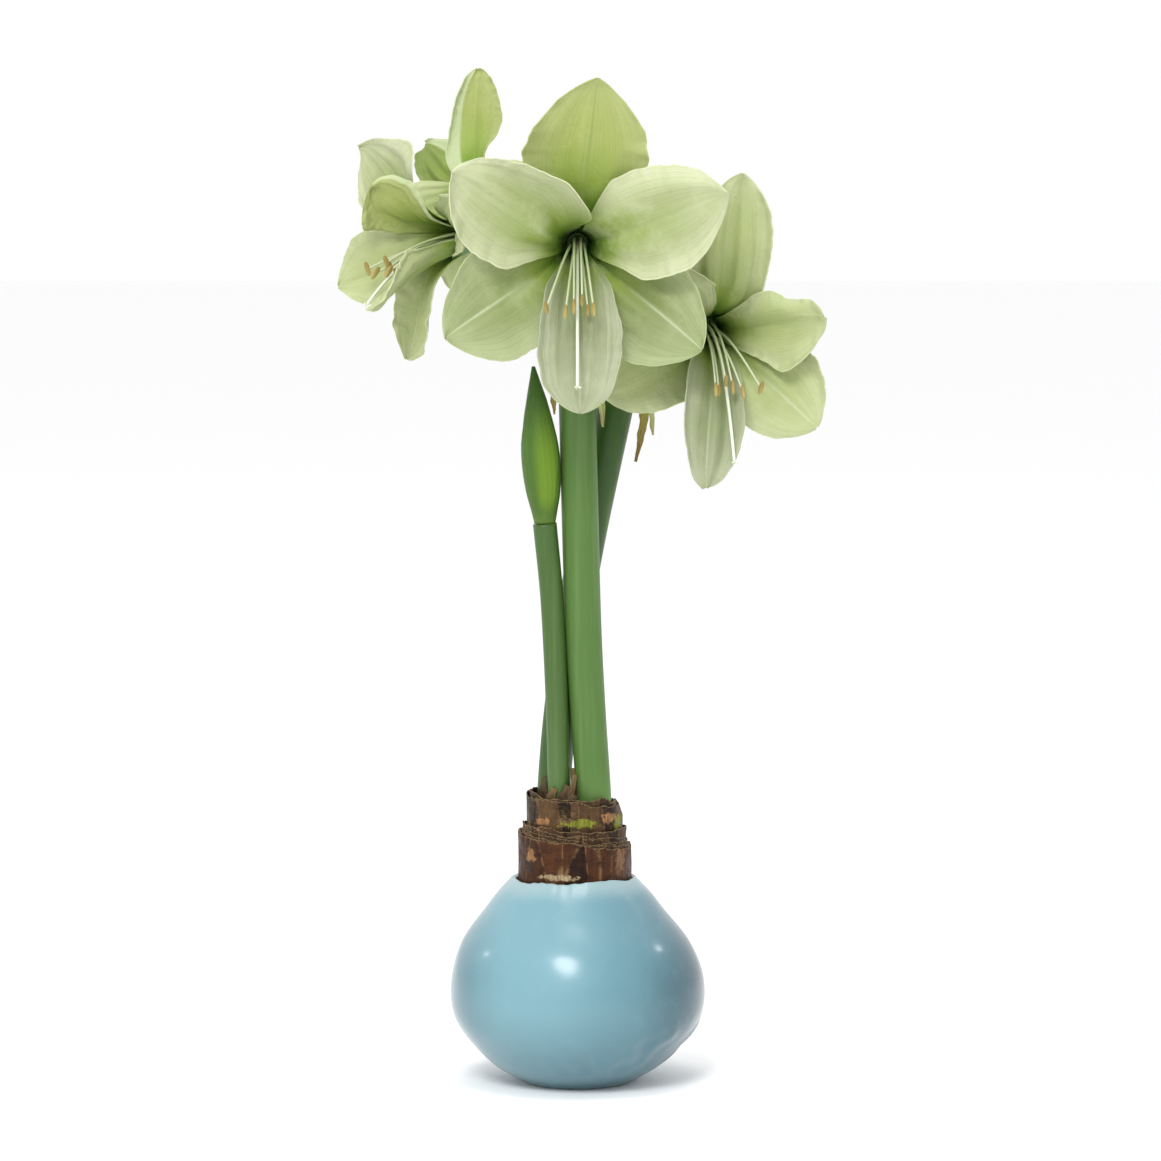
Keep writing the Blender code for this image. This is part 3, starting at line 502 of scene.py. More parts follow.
def tunic_paint(name, dark, light, patches, spots=()):
    """Dry bulb tunic: dark papery brown in standing straps, with fibres, worn spots and a paler torn edge."""
    paint = Paint(name, 0.42, Specular_IOR_Level=0.12)
    fibres = paint.noise((1, 1, 0.1), 1000, 5, 0.65)
    threads = paint.noise((0.5, 0.5, 2.2), 260, 5, 0.7, 2.2)
    cloud = paint.noise((1, 1, 1.8), 120, 4, 0.6)
    blotch = paint.noise((1, 1, 1.4), 95, 4, 0.6, 0.4)
    strap_places = paint.place((1, 1, 0.14))
    straps = paint.node("TexVoronoi", feature="F1")
    seams = paint.node("TexVoronoi", feature="DISTANCE_TO_EDGE")
    for cells in (straps, seams):
        cells.inputs["Scale"].default_value = 95
        paint.feed(cells.inputs["Vector"], strap_places)
    strap_tone, _, _ = paint.split(straps.outputs["Color"])
    tone = paint.add(paint.times(fibres, 0.35), paint.times(cloud, 0.45))
    tone = paint.add(tone, paint.math("MULTIPLY_ADD", strap_tone, 0.26, -0.03))
    brown = paint.ramp(tone, (0.36, dark), (0.5, blended(dark, light, 0.35)), (0.66, light))
    brown = paint.over(brown, scaled(light, 1.5), threads, 0.56, 0.7, 0.55)
    brown = paint.over(brown, scaled(dark, 0.5), threads, 0.44, 0.34, 0.55)
    brown = paint.over(brown, patches, blotch, 0.6, 0.7, 0.55)
    seam = paint.times(paint.span(seams.outputs["Distance"], 0.035, 0.0), paint.span(cloud, 0.42, 0.62))
    brown = paint.mix(paint.times(seam, 0.7), brown, (0.2, 0.12, 0.055))
    for tint, centre, size in spots:
        streaked = paint.over(scaled(tint, 0.55), tint, fibres, 0.4, 0.58)
        brown = spot(paint, brown, streaked, centre, size)
    edge = paint.add(paint.along(), paint.swing(fibres, 0.1))
    brown = paint.over(brown, (0.19, 0.13, 0.065), edge, 0.95, 1.0, 0.8)
    relief = paint.relief((strap_tone, 0.001, 0.5), (fibres, 0.0007, 0.6), (threads, 0.0009, 0.6))
    return paint.finish(brown, relief, paint.span(cloud, 0.35, 0.7, 0.28, 0.6))


def scape_paint(name, low, middle, high, stripe):
    """Green stem skin: fine lengthwise lines, a pale waxy bloom and a paler foot."""
    paint = Paint(name, 0.42, Subsurface_Weight=0.12, Subsurface_Scale=0.002, Specular_IOR_Level=0.35)
    lines = paint.noise((1, 1, 0.03), 1300, 3, 0.6)
    broad = paint.noise((1, 1, 0.04), 260, 2, 0.5)
    cloud = paint.noise((1, 1, 0.5), 60, 3)
    along = paint.along()
    green = paint.ramp(paint.add(along, paint.swing(cloud, 0.06)), (0.0, low), (0.35, middle), (1.0, high))
    green = paint.over(green, stripe, broad, 0.48, 0.68, 0.4)
    green = paint.over(green, stripe, lines, 0.45, 0.75, 0.25)
    relief = paint.relief((broad, 0.0006, 0.3), (lines, 0.0003, 0.3))
    return paint.finish(green, relief, paint.span(cloud, 0.3, 0.7, 0.36, 0.5))


def bud_paint():
    """Bud green: dark valve backs with a painted highlight low on its front right side, and fine lengthwise
    lines.
    """
    paint = Paint("bud_green", 0.4, Subsurface_Weight=0.12, Subsurface_Scale=0.002, Specular_IOR_Level=0.2)
    lines = paint.noise((1, 1, 0.04), 1400, 3, 0.6)
    around, along, _ = paint.split(paint.place(kind="UV"))
    green = paint.ramp(along, (0.0, (0.075, 0.14, 0.022)), (0.06, (0.055, 0.115, 0.015)),
                       (0.45, (0.055, 0.12, 0.016)), (0.85, (0.04, 0.095, 0.014)), (1.0, (0.03, 0.07, 0.012)))
    # painted highlight: a lime patch low on the front right side of the bud, where light falls
    light = paint.times(paint.span(along, 0.02, 0.18), paint.span(along, 0.8, 0.36))
    painted_highlight_side = paint.times(paint.span(around, 0.66, 0.76), paint.span(around, 0.96, 0.84))
    green = paint.mix(paint.times(paint.times(light, painted_highlight_side), 0.85), green, (0.125, 0.215, 0.012))
    green = paint.over(green, (0.11, 0.19, 0.035), lines, 0.45, 0.75, 0.25)
    return paint.finish(green, paint.relief((lines, 0.0004, 0.4)))


def dry_paint(name, dark, middle, tip):
    """Withered papery blade, darker and creased towards its tip."""
    paint = Paint(name, 0.65, Specular_IOR_Level=0.3)
    fibres = paint.noise((1, 1, 0.15), 1100, 4, 0.65)
    along = paint.along()
    brown = paint.ramp(paint.add(along, paint.swing(fibres, 0.2)), (0.0, dark), (0.45, middle), (1.0, tip))
    return paint.finish(brown, paint.relief((fibres, 0.0006, 0.6)))


def tepal_paint(name, blade, edge, midrib_tint, midrib_share, green_reach, lit_stripe_start=None):
    """A petal: dark green in the throat, lime beyond, with fine fanned veins, a midrib and a pale margin.
    green_reach stretches the throat's green, and a painted lit stripe, standing in for light on a rolled
    margin, runs from the given place across the blade to the margin."""
    paint = Paint(name, 0.5, Subsurface_Weight=0.35, Subsurface_Scale=0.0012,
                  Subsurface_Radius=(0.9, 1.0, 0.5), Specular_IOR_Level=0.28)
    across, along, _ = paint.split(paint.place(kind="UV"))
    centre = paint.swing(across, 1.0)
    away = paint.math("ABSOLUTE", centre)
    veins = paint.noise((60, 1.6, 1), 1.0, 2, 0.6, kind="UV")
    fine_veins = paint.noise((170, 4.0, 1), 1.0, 2, 0.6, kind="UV")
    broad = paint.noise((7, 1.3, 1), 1.0, 3, 0.55, 0.3, kind="UV")
    blotch = paint.noise(EVEN, 55, 4, 0.6)
    # the green runs further out along the midrib than at the margins
    reach = paint.add(paint.math("MULTIPLY_ADD", away, 0.12, along), paint.swing(broad, 0.1))
    reach = paint.math("DIVIDE", reach, green_reach)
    deep_green, fresh, pale_green = (0.03, 0.095, 0.002), (0.12, 0.22, 0.012), (0.235, 0.32, 0.055)
    colour = paint.ramp(reach, (0.14, deep_green), (0.28, fresh), (0.42, pale_green),
                        (0.59, blended(pale_green, blade, 0.75)), (0.77, blade))
    outer_part = paint.times(paint.span(away, 0.25, 0.95, 0.0, 0.8), paint.span(along, 0.25, 0.5))
    colour = paint.mix(outer_part, colour, edge)
    colour = paint.over(colour, edge, along, 0.62, 1.05, 0.6)
    colour = paint.over(colour, scaled(blade, 0.68), veins, 0.58, 0.36, 0.2)
    colour = paint.over(colour, scaled(blade, 0.68), fine_veins, 0.6, 0.36, 0.13)
    colour = paint.over(colour, edge, blotch, 0.46, 0.72, 0.42)
    colour = paint.over(colour, (0.23, 0.315, 0.085), blotch, 0.46, 0.28, 0.25)
    rib = paint.times(paint.span(away, 0.045, 0.0), paint.span(along, 0.4, 0.75))
    colour = paint.mix(paint.times(rib, midrib_share), colour, midrib_tint)
    margin = paint.times(paint.span(away, 0.955, 1.0), paint.span(along, 0.3, 0.6, 0, 0.6))
    colour = paint.mix(margin, colour, edge)
    # painted light: a pale stripe over one margin stands in for light falling on the rolled margin
    if lit_stripe_start is not None:
        lit_stripe_end = lit_stripe_start + math.copysign(0.12, lit_stripe_start)
        lit_stripe = paint.times(paint.span(centre, lit_stripe_start, lit_stripe_end), paint.span(along, 0.15, 0.3))
        colour = paint.mix(paint.times(lit_stripe, 0.8), colour, (0.44, 0.5, 0.3))
    grain = paint.noise(EVEN, 1500, 2)
    wrinkle = paint.noise(EVEN, 210, 4, 0.6, 1.2)
    relief = paint.relief((veins, 0.0005, 0.35), (fine_veins, 0.0003, 0.3), (wrinkle, 0.0011, 0.45),
                          (grain, 0.0001, 0.3))
    return paint.finish(colour, relief)


def plain_paint(name, base, tip, roughness, scale, depth):
    """A gradient along the piece with a fine grain."""
    paint = Paint(name, roughness, Subsurface_Weight=0.15, Subsurface_Scale=0.001, Specular_IOR_Level=0.2)
    along = paint.along()
    grain = paint.noise(EVEN, scale, 3)
    tone = paint.add(along, paint.swing(grain, 0.15))
    return paint.finish(paint.ramp(tone, (0.0, base), (1.0, tip)), paint.relief((grain, depth, 0.5)))


# Meshes


def add_piece(name, node, slot, paint, points, faces, uvs, thickness=0.0):
    """Makes a smooth piece that stands for a node and rides on the plant."""
    mesh = bpy.data.meshes.new(name)
    mesh.from_pydata([tuple(map(float, p)) for p in points], [], faces)
    layer = mesh.uv_layers.new(name="form")
    corners = np.array([loop.vertex_index for loop in mesh.loops])
    layer.data.foreach_set("uv", np.asarray(uvs, float)[corners].ravel())
    mesh.update()
    mesh.shade_smooth()
    mesh.materials.append(paint)
    piece = bpy.data.objects.new(name, mesh)
    bpy.context.scene.collection.objects.link(piece)
    if thickness:
        solid = piece.modifiers.new("thickness", "SOLIDIFY")
        solid.thickness = thickness
        solid.offset = 0
        solid.use_even_offset = False
    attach(piece, "root")
    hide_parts(node)


def grid_faces(rows, columns, around=False):
    faces = []
    for row in range(rows - 1):
        low, high = row * columns, (row + 1) * columns
        for column in range(columns if around else columns - 1):
            after = (column + 1) % columns
            faces.append((low + column, low + after, high + after, high + column))
    return faces


def tube_faces(rows, sides):
    """Faces of rings joined into a tube with closed ends."""
    last = (rows - 1) * sides
    ends = [tuple(reversed(range(sides))), tuple(range(last, last + sides))]
    return grid_faces(rows, sides, around=True) + ends


def ring_uvs(steps, heights):
    """Uvs of rings of points: the share of the way round, and a height for each ring."""
    return np.column_stack([np.tile(np.arange(steps) / steps, len(heights)), np.repeat(heights, steps)])


def round_angles(steps):
    return np.arange(steps) * 2 * math.pi / steps


def unit(vectors):
    return vectors / np.linalg.norm(vectors, axis=1)[:, None]


def point_list(x, y, z):
    return np.stack(np.broadcast_arrays(x, y, z), axis=-1).reshape(-1, 3)


def rings(points, radii, sides):
    """Points, faces and uvs of a closed round tube along the points."""
    points = np.array(points, float)
    radii = np.broadcast_to(np.asarray(radii, float), (len(points),))
    run = unit(np.gradient(points, axis=0))
    side = Vector(run[0]).orthogonal().normalized()
    angle = round_angles(sides)[:, None]
    loops = []
    for place, along, radius in zip(points, run, radii):
        along = Vector(along)
        side = (side - along * side.dot(along)).normalized()
        other = np.array(along.cross(side))
        loops.append(place + radius * (np.cos(angle) * np.array(side) + np.sin(angle) * other))
    rows = len(points)
    return np.concatenate(loops), tube_faces(rows, sides), ring_uvs(sides, np.linspace(0, 1, rows))


def several(*parts):
    """Joins lists of points, faces and uvs into one."""
    vertices, faces, uvs = [], [], []
    start = 0
    for points, loops, places in parts:
        vertices.append(points)
        uvs.append(places)
        faces += [tuple(start + index for index in loop) for loop in loops]
        start += len(points)
    return np.concatenate(vertices), faces, np.concatenate(uvs)


def wax_side(inset):
    """The coat's outline moved inwards, from the foot up."""
    outline = smooth_route(WAX_OUTLINE, 12)
    run = unit(np.gradient(outline, axis=0))
    moved = outline + inset * np.column_stack([-run[:, 1], run[:, 0]])
    moved[:, 1] = np.maximum(moved[:, 1], inset)
    return moved


def wax_coat():
    """The wax: nearly even, with shallow dents, a soft uneven rim and runs near its foot on the right."""
    outer, inner = wax_side(0), wax_side(WAX_THICKNESS)
    rim_radius, rim_height = outer[-1]
    t = np.arange(1, LIP_STEPS + 1)[:, None] / LIP_STEPS
    lip = np.hstack([rim_radius + (RIM_BORE - rim_radius) * t,
                     rim_height + LIP_SWELL * np.sin(math.pi * t) - LIP_DROP * t])
    bore = (RIM_BORE, rim_height - RIM_DEPTH)
    lining = [place for place in inner[::-1] if place[1] < rim_height - LINING_DEPTH]
    profile = np.array([(AXIS_RADIUS, 0), *outer, *lip, bore, *lining, (AXIS_RADIUS, WAX_THICKNESS)])
    radius, height = profile[:, :1], profile[:, 1:]
    outside = np.zeros((len(profile), 1))
    outside[1:len(outer) + 2] = 1
    angle = round_angles(WAX_STEPS)
    c, s = np.cos(angle), np.sin(angle)
    dents = WAX_DENT * waves(5, 6, 1.4 * c, 1.4 * s, 38 * height) - WAX_DENT / 2
    near_foot = smoothstep(*RUN_FOOT, height) * smoothstep(*RUN_TOP, height)
    right_side = smoothstep(-0.3, 0.6, c - 0.4 * s)
    run = WAX_RUN * near_foot * right_side * smoothstep(0.0, 0.9, waves(9, 8, 5 * c, 5 * s, 90 * height))
    rim_lift = RIM_WAVE * waves(12, 7, 2.6 * c, 2.6 * s) + RIM_RIPPLE * waves(13, 8, 11 * c, 11 * s)
    wide = radius + smoothstep(*FOOT_RELIEF, height) * outside * (dents + run)
    tall = height + smoothstep(*RIM_ZONE, height) * rim_lift
    lean = NECK_SHIFT * smoothstep(LEAN_START, LEAN_END, height)
    rows = len(profile)
    add_piece("wax", "wax_coat", "wax", wax_paint(), point_list(wide * c + lean, wide * s, tall),
              tube_faces(rows, WAX_STEPS), ring_uvs(WAX_STEPS, np.linspace(0, 1, rows)))


def tear(angle, seed):
    """A torn edge's height round a sleeve, from -1 to 1."""
    waves_round = [(3, 0.5), (7, 0.3), (11, 0.2)]
    return sum(size * np.sin(count * angle + seed * (count + 1.3)) for count, size in waves_round)


def sleeve_sheet(seed, sleeve, flare=0.0, depth=None, rows=TUNIC_ROWS):
    """Points, faces and uvs of one papery sleeve. The uvs rise to 1 at its torn edge from EDGE_UV below."""
    angle = round_angles(TUNIC_STEPS)
    c, s = np.cos(angle), np.sin(angle)
    broad, fine = (9 * c, 9 * s), (40 * c, 40 * s)
    rim = sleeve.top - sleeve.tilt * c + sleeve.tear * tear(angle, seed)
    rim = rim + EDGE_RAG * np.tanh(3 * waves(20 + seed, 10, *broad)) + EDGE_RAG * waves(30 + seed, 12, *fine)
    right_side = np.clip(np.cos(angle - TUCK_FACING), 0, 1) ** 4
    share = (1 - (1 - np.linspace(0, 1, rows)) ** 1.4)[:, None]
    foot = rim - depth if depth else TUNIC_FOOT
    height = foot + (rim - foot) * share
    radius = sleeve.radius - sleeve.tuck * right_side * np.clip((height - TUCK_START) / TUCK_RISE, 0, 1)
    radius = radius + PAPER_DENT * waves(40 + seed, 9, *broad, 120 * height)
    radius = radius + PAPER_RIPPLE * waves(50 + seed, 12, *fine, 60 * height)
    near_rim = smoothstep(rim - EDGE_CURL_DEPTH, rim, height)
    radius = radius + near_rim * (flare + EDGE_CURL * waves(60 + seed, 8, 12 * c, 12 * s))
    below = np.clip(1 - (rim - height) / EDGE_UV, 0, 1)
    uvs = np.column_stack([np.tile(np.arange(TUNIC_STEPS) / TUNIC_STEPS, rows), below.ravel()])
    points = point_list(radius * c + NECK_SHIFT, radius * s, height)
    return points, grid_faces(rows, TUNIC_STEPS, around=True), uvs


def tunic(seed, sleeve, paint):
    sheets = [sleeve_sheet(seed, sleeve, MIDDLE_FLARE if sleeve.name == "tunic_middle" else 0.0)]
    if sleeve.name == "tunic_second":
        for order, (outwards, rise) in enumerate(SKINS):
            skin = sleeve._replace(radius=sleeve.radius + outwards, top=sleeve.top + rise)
            sheets.append(sleeve_sheet(seed + 70 + order, skin, depth=SKIN_DEPTH, rows=SKIN_ROWS))
    points, faces, uvs = several(*sheets)
    add_piece(f"{sleeve.name}_paper", sleeve.name, "tunic_paper", paint, points, faces, uvs, PAPER_THICKNESS)


def scape(name, paint):
    route, low, high = SCAPES[name]
    points = smooth_route(route, 26)
    radii = low + (high - low) * np.linspace(0, 1, len(points))
    add_piece(f"stem_{name}", f"scape_{name}", "scape_green", paint, *rings(points, radii, SCAPE_SIDES))


def bud(paint):
    """The closed bud: one valve of the spathe wraps half way over the other."""
    base = np.array(SCAPES["bud"][0][-1]) + (0, 0, BUD_SEAT)
    foot = (-0.9 * BUD_SEAT, BUD_OUTLINE[0][1])
    outline = np.concatenate([[foot], smooth_route(BUD_OUTLINE, 10)])
    length = BUD_OUTLINE[-1][0]
    angle = round_angles(BUD_SIDES)
    points = []
    for rise, radius in outline:
        share = max(rise, 0) / length
        over = smoothstep(0.12, 0.2, np.cos(angle - 3.9 - 1.2 * share))
        swell = radius + VALVE_STEP * over * math.sin(math.pi * min(1, 1.1 * share))
        swell = swell + BUD_RIB * radius / BUD_WIDEST * np.sin(BUD_RIBS * angle + 3 * share)
        lean_x, lean_y = (side * share ** 1.3 for side in BUD_LEAN)
        points.append(point_list(base[0] + lean_x + swell * np.cos(angle),
                                 base[1] + lean_y + BUD_FLATNESS * swell * np.sin(angle), base[2] + rise))
    add_piece("closed_bud", "bud", "bud_green", paint, np.concatenate(points),
              tube_faces(len(points), BUD_SIDES), ring_uvs(BUD_SIDES, outline[:, 0] / length))


def lance(name, node, route, width, facing, seed, paint, tip):
    """A withered blade along a route, creased and crumpled at its edges."""
    spine = smooth_route(route, 14)
    run = unit(np.gradient(spine, axis=0))
    side = unit(np.cross(run, np.array(facing, float)))
    out = np.cross(side, run)
    share = np.linspace(0, 1, len(spine))[:, None]
    across = np.linspace(-1, 1, BLADE_COLUMNS)[None, :]
    half = width / 2 * np.clip(1.15 - share ** 2, tip, 1)
    half = half * (1 + 0.16 * waves(seed, 8, 13 * share, 2 * across))
    dip = half * 0.35 * across ** 2 + BLADE_CRUMPLE * waves(seed + 1, 8, 5 * across, 7 * share)
    grid = spine[:, None] + (half * across)[..., None] * side[:, None] - dip[..., None] * out[:, None]
    uvs = np.stack(np.broadcast_arrays((across + 1) / 2, share), axis=-1).reshape(-1, 2)
    faces = grid_faces(len(spine), BLADE_COLUMNS)
    add_piece(f"{name}_dry", node, "dry_brown", paint, grid.reshape(-1, 3), faces, uvs, BLADE_THICKNESS)


def midrib(tepal, share):
    """Distance out from the bloom's axis, distance along it and lean from it, at shares of the length."""
    fine = np.linspace(0, 1, MIDRIB_STEPS)
    claw_radius = TUBE_RADIUS + CLEARANCE + TEPAL_SEAT * (0.5 if tepal.inner else 1.9)
    opening = smoothstep(0.05, 0.75, fine) if tepal.inner else smoothstep(0.0, 0.7, fine)
    lean = CLAW_ANGLE + (math.radians(tepal.flare) - CLAW_ANGLE) * opening
    step = tepal.length / (MIDRIB_STEPS - 1)
    out = claw_radius + step * (np.cumsum(np.sin(lean)) - np.sin(lean[0]))
    along = -CLAW_OVERLAP + step * (np.cumsum(np.cos(lean)) - np.cos(lean[0]))
    return np.interp(share, fine, out), np.interp(share, fine, along), np.interp(share, fine, lean)


def half_width(tepal, share):
    """Half the blade's width: a narrow claw, widest past the middle, and a blunt pointed tip."""
    claw = INNER_CLAW if tepal.inner else OUTER_CLAW
    widest = INNER_WIDEST if tepal.inner else OUTER_WIDEST
    rise = np.sin(np.clip(share / widest, 0, 1) * math.pi / 2) ** 1.15
    fall = (1 - np.clip((share - widest) / (1 - widest), 0, 1) ** tepal.blunt) ** 0.8
    return np.maximum((claw + (tepal.width / 2 - claw) * rise) * fall, TIP_WIDTH / 2)


def tepal_surface(tepal, seed):
    """A tepal's grid of points in its bloom's frame: +Z out of the bloom, +Y up it and +X to its right."""
    share = (1 - (1 - np.linspace(0, 1, TEPAL_ROWS)) ** 1.25)[:, None]
    across = np.sin(np.linspace(-1, 1, TEPAL_COLUMNS) * math.pi / 2 * 0.9) / math.sin(math.pi / 2 * 0.9)
    across = across[None, :]
    side_sign = np.sign(across)
    out, along, lean = midrib(tepal, share)
    clock = math.radians(tepal.clock)
    radial = np.array([math.sin(clock), math.cos(clock), 0])
    sideways = np.array([math.cos(clock), -math.sin(clock), 0])
    axis = np.array([0, 0, 1])
    spine = out[..., None] * radial + along[..., None] * axis
    spine = spine + (tepal.side * tepal.length * share ** 2)[..., None] * sideways
    inward = -np.cos(lean)[..., None] * radial + np.sin(lean)[..., None] * axis
    twist = np.radians(tepal.twist) * share ** 1.5
    level = np.cos(twist)[..., None] * sideways + np.sin(twist)[..., None] * inward
    inward = np.cos(twist)[..., None] * inward - np.sin(twist)[..., None] * sideways
    half = np.minimum(half_width(tepal, share), SPREAD_LIMIT * out)
    blade_part = smoothstep(0.25, 0.75, share)
    cup = INNER_CUP if tepal.inner else OUTER_CUP
    bend = np.cos(lean) / out + cup * blade_part / half
    # the outline's unevenness, and the cross-section followed from the midrib out with its rolled margins
    uneven = 0.09 * waves(seed + 3, 6, 5.0 * share, 1.5 * side_sign)
    uneven = uneven + 0.028 * np.abs(across) ** 3 * waves(seed + 7, 8, 24 * share, 1.5 * side_sign)
    swell_part = np.exp(-((share - tepal.turn.place) / SWELL_SPREAD) ** 2) * smoothstep(0.0, 0.2, share)
    uneven = 1 + uneven * np.abs(across) * blade_part
    uneven = uneven + np.where(across < 0, *tepal.turn.swells) * np.abs(across) * swell_part
    reach = across * half * uneven
    amount = np.where(across < 0, *tepal.turn.rolls) + 14 * waves(seed + 4, 5, 4.0 * share, 2.0 * side_sign)
    roll = np.radians(amount) * smoothstep(0.45, 1.0, np.abs(across)) * smoothstep(0.22, 0.5, share)
    turn = bend * reach + side_sign * roll * smoothstep(1.02, 0.86, share)
    step = np.diff(reach, axis=1)
    between = (turn[:, 1:] + turn[:, :-1]) / 2
    flat = np.cumsum(np.pad(np.cos(between) * step, ((0, 0), (1, 0))), axis=1)
    lift = np.cumsum(np.pad(np.sin(between) * step, ((0, 0), (1, 0))), axis=1)
    middle = TEPAL_COLUMNS // 2
    flat, lift = flat - flat[:, middle:middle + 1], lift - lift[:, middle:middle + 1]
    margin = np.abs(across) ** 3 * blade_part
    wave = np.sin(2 * math.pi * (1.6 * share + 0.21 * tepal.clock) + 1.3 * side_sign)
    lift = lift - MARGIN_ROLL * half * margin
    lift = lift + RUFFLE * tepal.ruffle * margin * wave * smoothstep(0.5, 0.85, share)
    # fine relief over the plain form: folds, pleats fanned from the claw, a furrow on the midrib and ruffles
    open_part = smoothstep(0.15, 0.5, share)
    fold_part, pleat_part = (open_part * smoothstep(1.0, end, share) for end in (0.7, 0.75))
    lift = lift + FOLD * fold_part * waves(seed + 5, 6, 3.6 * across, 1.4 * share)
    lift = lift + PLEAT * pleat_part * waves(seed, 9, 11 * across, 1.2 * share)
    furrow_part = smoothstep(0.05, 0.3, share) * smoothstep(1.0, 0.8, share)
    lift = lift - FURROW * np.exp(-(across / FURROW_SPREAD) ** 2) * furrow_part
    lift = lift + DIMPLE * open_part * waves(seed + 1, 6, 2.0 * across, 4.0 * share)
    lift = lift + FRILL * tepal.ruffle * margin * waves(seed + 2, 8, 13 * share, 1.0 * side_sign)
    lift = lift + FINE_FRILL * margin * waves(seed + 6, 8, 34 * share, 1.0 * side_sign)
    lift = lift + HOOK * smoothstep(0.93, 1.0, share) * np.exp(-(reach / HOOK_SPREAD) ** 2)
    points = spine + flat[..., None] * level + lift[..., None] * inward
    uvs = np.stack(np.broadcast_arrays((across + 1) / 2, share), axis=-1)
    return points.reshape(-1, 3), uvs.reshape(-1, 2)


def bloom_frame(bloom):
    yaw, pitch = math.radians(bloom.yaw), math.radians(bloom.pitch)
    axis = Vector((math.sin(yaw) * math.cos(pitch), -math.cos(yaw) * math.cos(pitch), math.sin(pitch)))
    right = Vector((0, 0, 1)).cross(axis).normalized()
    up = axis.cross(right)
    turn = Matrix((right, up, axis)).transposed().to_4x4()
    return Matrix.Translation(Vector(bloom.mouth)) @ turn


def in_world(frame, points):
    turn = np.array(frame)
    return np.asarray(points, float) @ turn[:3, :3].T + turn[:3, 3]


def kept_inside(points):
    """Petal points eased back where a margin would pass the plant's own box."""
    low, high = (np.array(corner) for corner in cad_box)
    for side, limit in ((1, low + TEPAL_THICKNESS / 2), (-1, high - TEPAL_THICKNESS / 2)):
        depth = side * (points - limit)
        eased = BOX_EASE * np.exp(np.minimum(depth / BOX_EASE - 1, 0))
        points = np.where(depth < BOX_EASE, limit + side * eased, points)
    return points


def tepals(name, bloom, seed, paints):
    frame_of_bloom = bloom_frame(bloom)
    faces = grid_faces(TEPAL_ROWS, TEPAL_COLUMNS)
    for order, tepal in enumerate(bloom.tepals):
        points, uvs = tepal_surface(tepal, seed + 10 * order)
        points = kept_inside(in_world(frame_of_bloom, points))
        add_piece(f"{name}_petal_{tepal.name}", f"{name}_tepal_{tepal.name}", "tepal_lime",
                  paints[tepal.paint], points, faces, uvs, TEPAL_THICKNESS)


def throat(name, bloom, dark, paint):
    """The end of the floral tube and the web that joins the claws of the tepals behind their gaps."""
    turn = bloom_frame(bloom)
    angle = round_angles(THROAT_STEPS)
    c, s = np.cos(angle), np.sin(angle)
    curves = []
    for tepal in bloom.tepals:
        out, along, lean = midrib(tepal, np.linspace(0, WEB_REACH, WEB_ROWS) / tepal.length)
        curves.append(np.array([out + WEB_SEAT * np.cos(lean), along - WEB_SEAT * np.sin(lean)]))
    # between two claws the web's rows follow both claws' curves in turn
    full = 2 * math.pi
    clocks = np.radians([tepal.clock for tepal in bloom.tepals]) % full
    order = np.argsort(clocks)
    known = np.concatenate([[clocks[order[-1]] - full], clocks[order], [clocks[order[0]] + full]])
    curves = np.array([curves[i] for i in (order[-1], *order, order[0])])
    slot = np.clip(np.searchsorted(known, angle, side="right") - 1, 0, len(known) - 2)
    share = ((angle - known[slot]) / (known[slot + 1] - known[slot]))[:, None, None]
    out, along = (curves[slot] * (1 - share) + curves[slot + 1] * share).transpose(1, 2, 0)
    out[0], along[0] = TUBE_RADIUS - WEB_SEAT / 2, along[0] - WEB_SEAT
    radius = np.linspace(AXIS_RADIUS, TUBE_RADIUS, WEB_ROWS)[:, None]
    faces = grid_faces(WEB_ROWS, THROAT_STEPS, around=True)
    uvs = ring_uvs(THROAT_STEPS, np.linspace(0, 1, WEB_ROWS))
    disc = in_world(turn, point_list(radius * s, radius * c, CLEARANCE / 2))
    web = in_world(turn, point_list(out * s, out * c, along))
    # the disc closing the tube takes the throat's deep green darkened as painted shade
    add_piece(f"{name}_throat", f"{name}_stalk", "scape_green", dark, disc, faces, uvs)
    add_piece(f"{name}_web", f"{name}_stalk", "scape_green", paint, web, faces, uvs)


def stalk(name, bloom, paint):
    """Pedicel, ovary and floral tube of a bloom in one piece."""
    turn = np.array(bloom_frame(bloom))
    axis, mouth, foot = turn[:3, 2], np.array(bloom.mouth), np.array(bloom.foot)
    ovary = mouth - axis * (TUBE_LENGTH + OVARY_LENGTH)
    up, back = foot + (0, 0, bloom.rise), ovary - axis * bloom.rise
    share = np.linspace(0, 1, 49)[:-1, None]
    pedicel = ((1 - share) ** 3 * foot + 3 * (1 - share) ** 2 * share * up
               + 3 * (1 - share) * share ** 2 * back + share ** 3 * ovary)
    along = np.linspace(0, 1, 31)
    rest = ovary + (OVARY_LENGTH + TUBE_LENGTH) * along[:, None] * axis
    knots = np.array([0, 0.1, 0.25, 0.42, 0.58, 0.75, 1.0])
    widths = [PEDICEL_RADIUS, PEDICEL_RADIUS + PEDICEL_SWELL, OVARY_RADIUS, OVARY_RADIUS] + 3 * [TUBE_RADIUS]
    radii = np.concatenate([np.full(len(pedicel), PEDICEL_RADIUS), np.interp(along, knots, widths)])
    radii = np.convolve(np.pad(radii, 2, mode="edge"), np.ones(5) / 5, mode="valid")
    add_piece(f"{name}_pedicel", f"{name}_stalk", "scape_green", paint,
              *rings(np.concatenate([pedicel, rest]), radii, PEDICEL_SIDES))


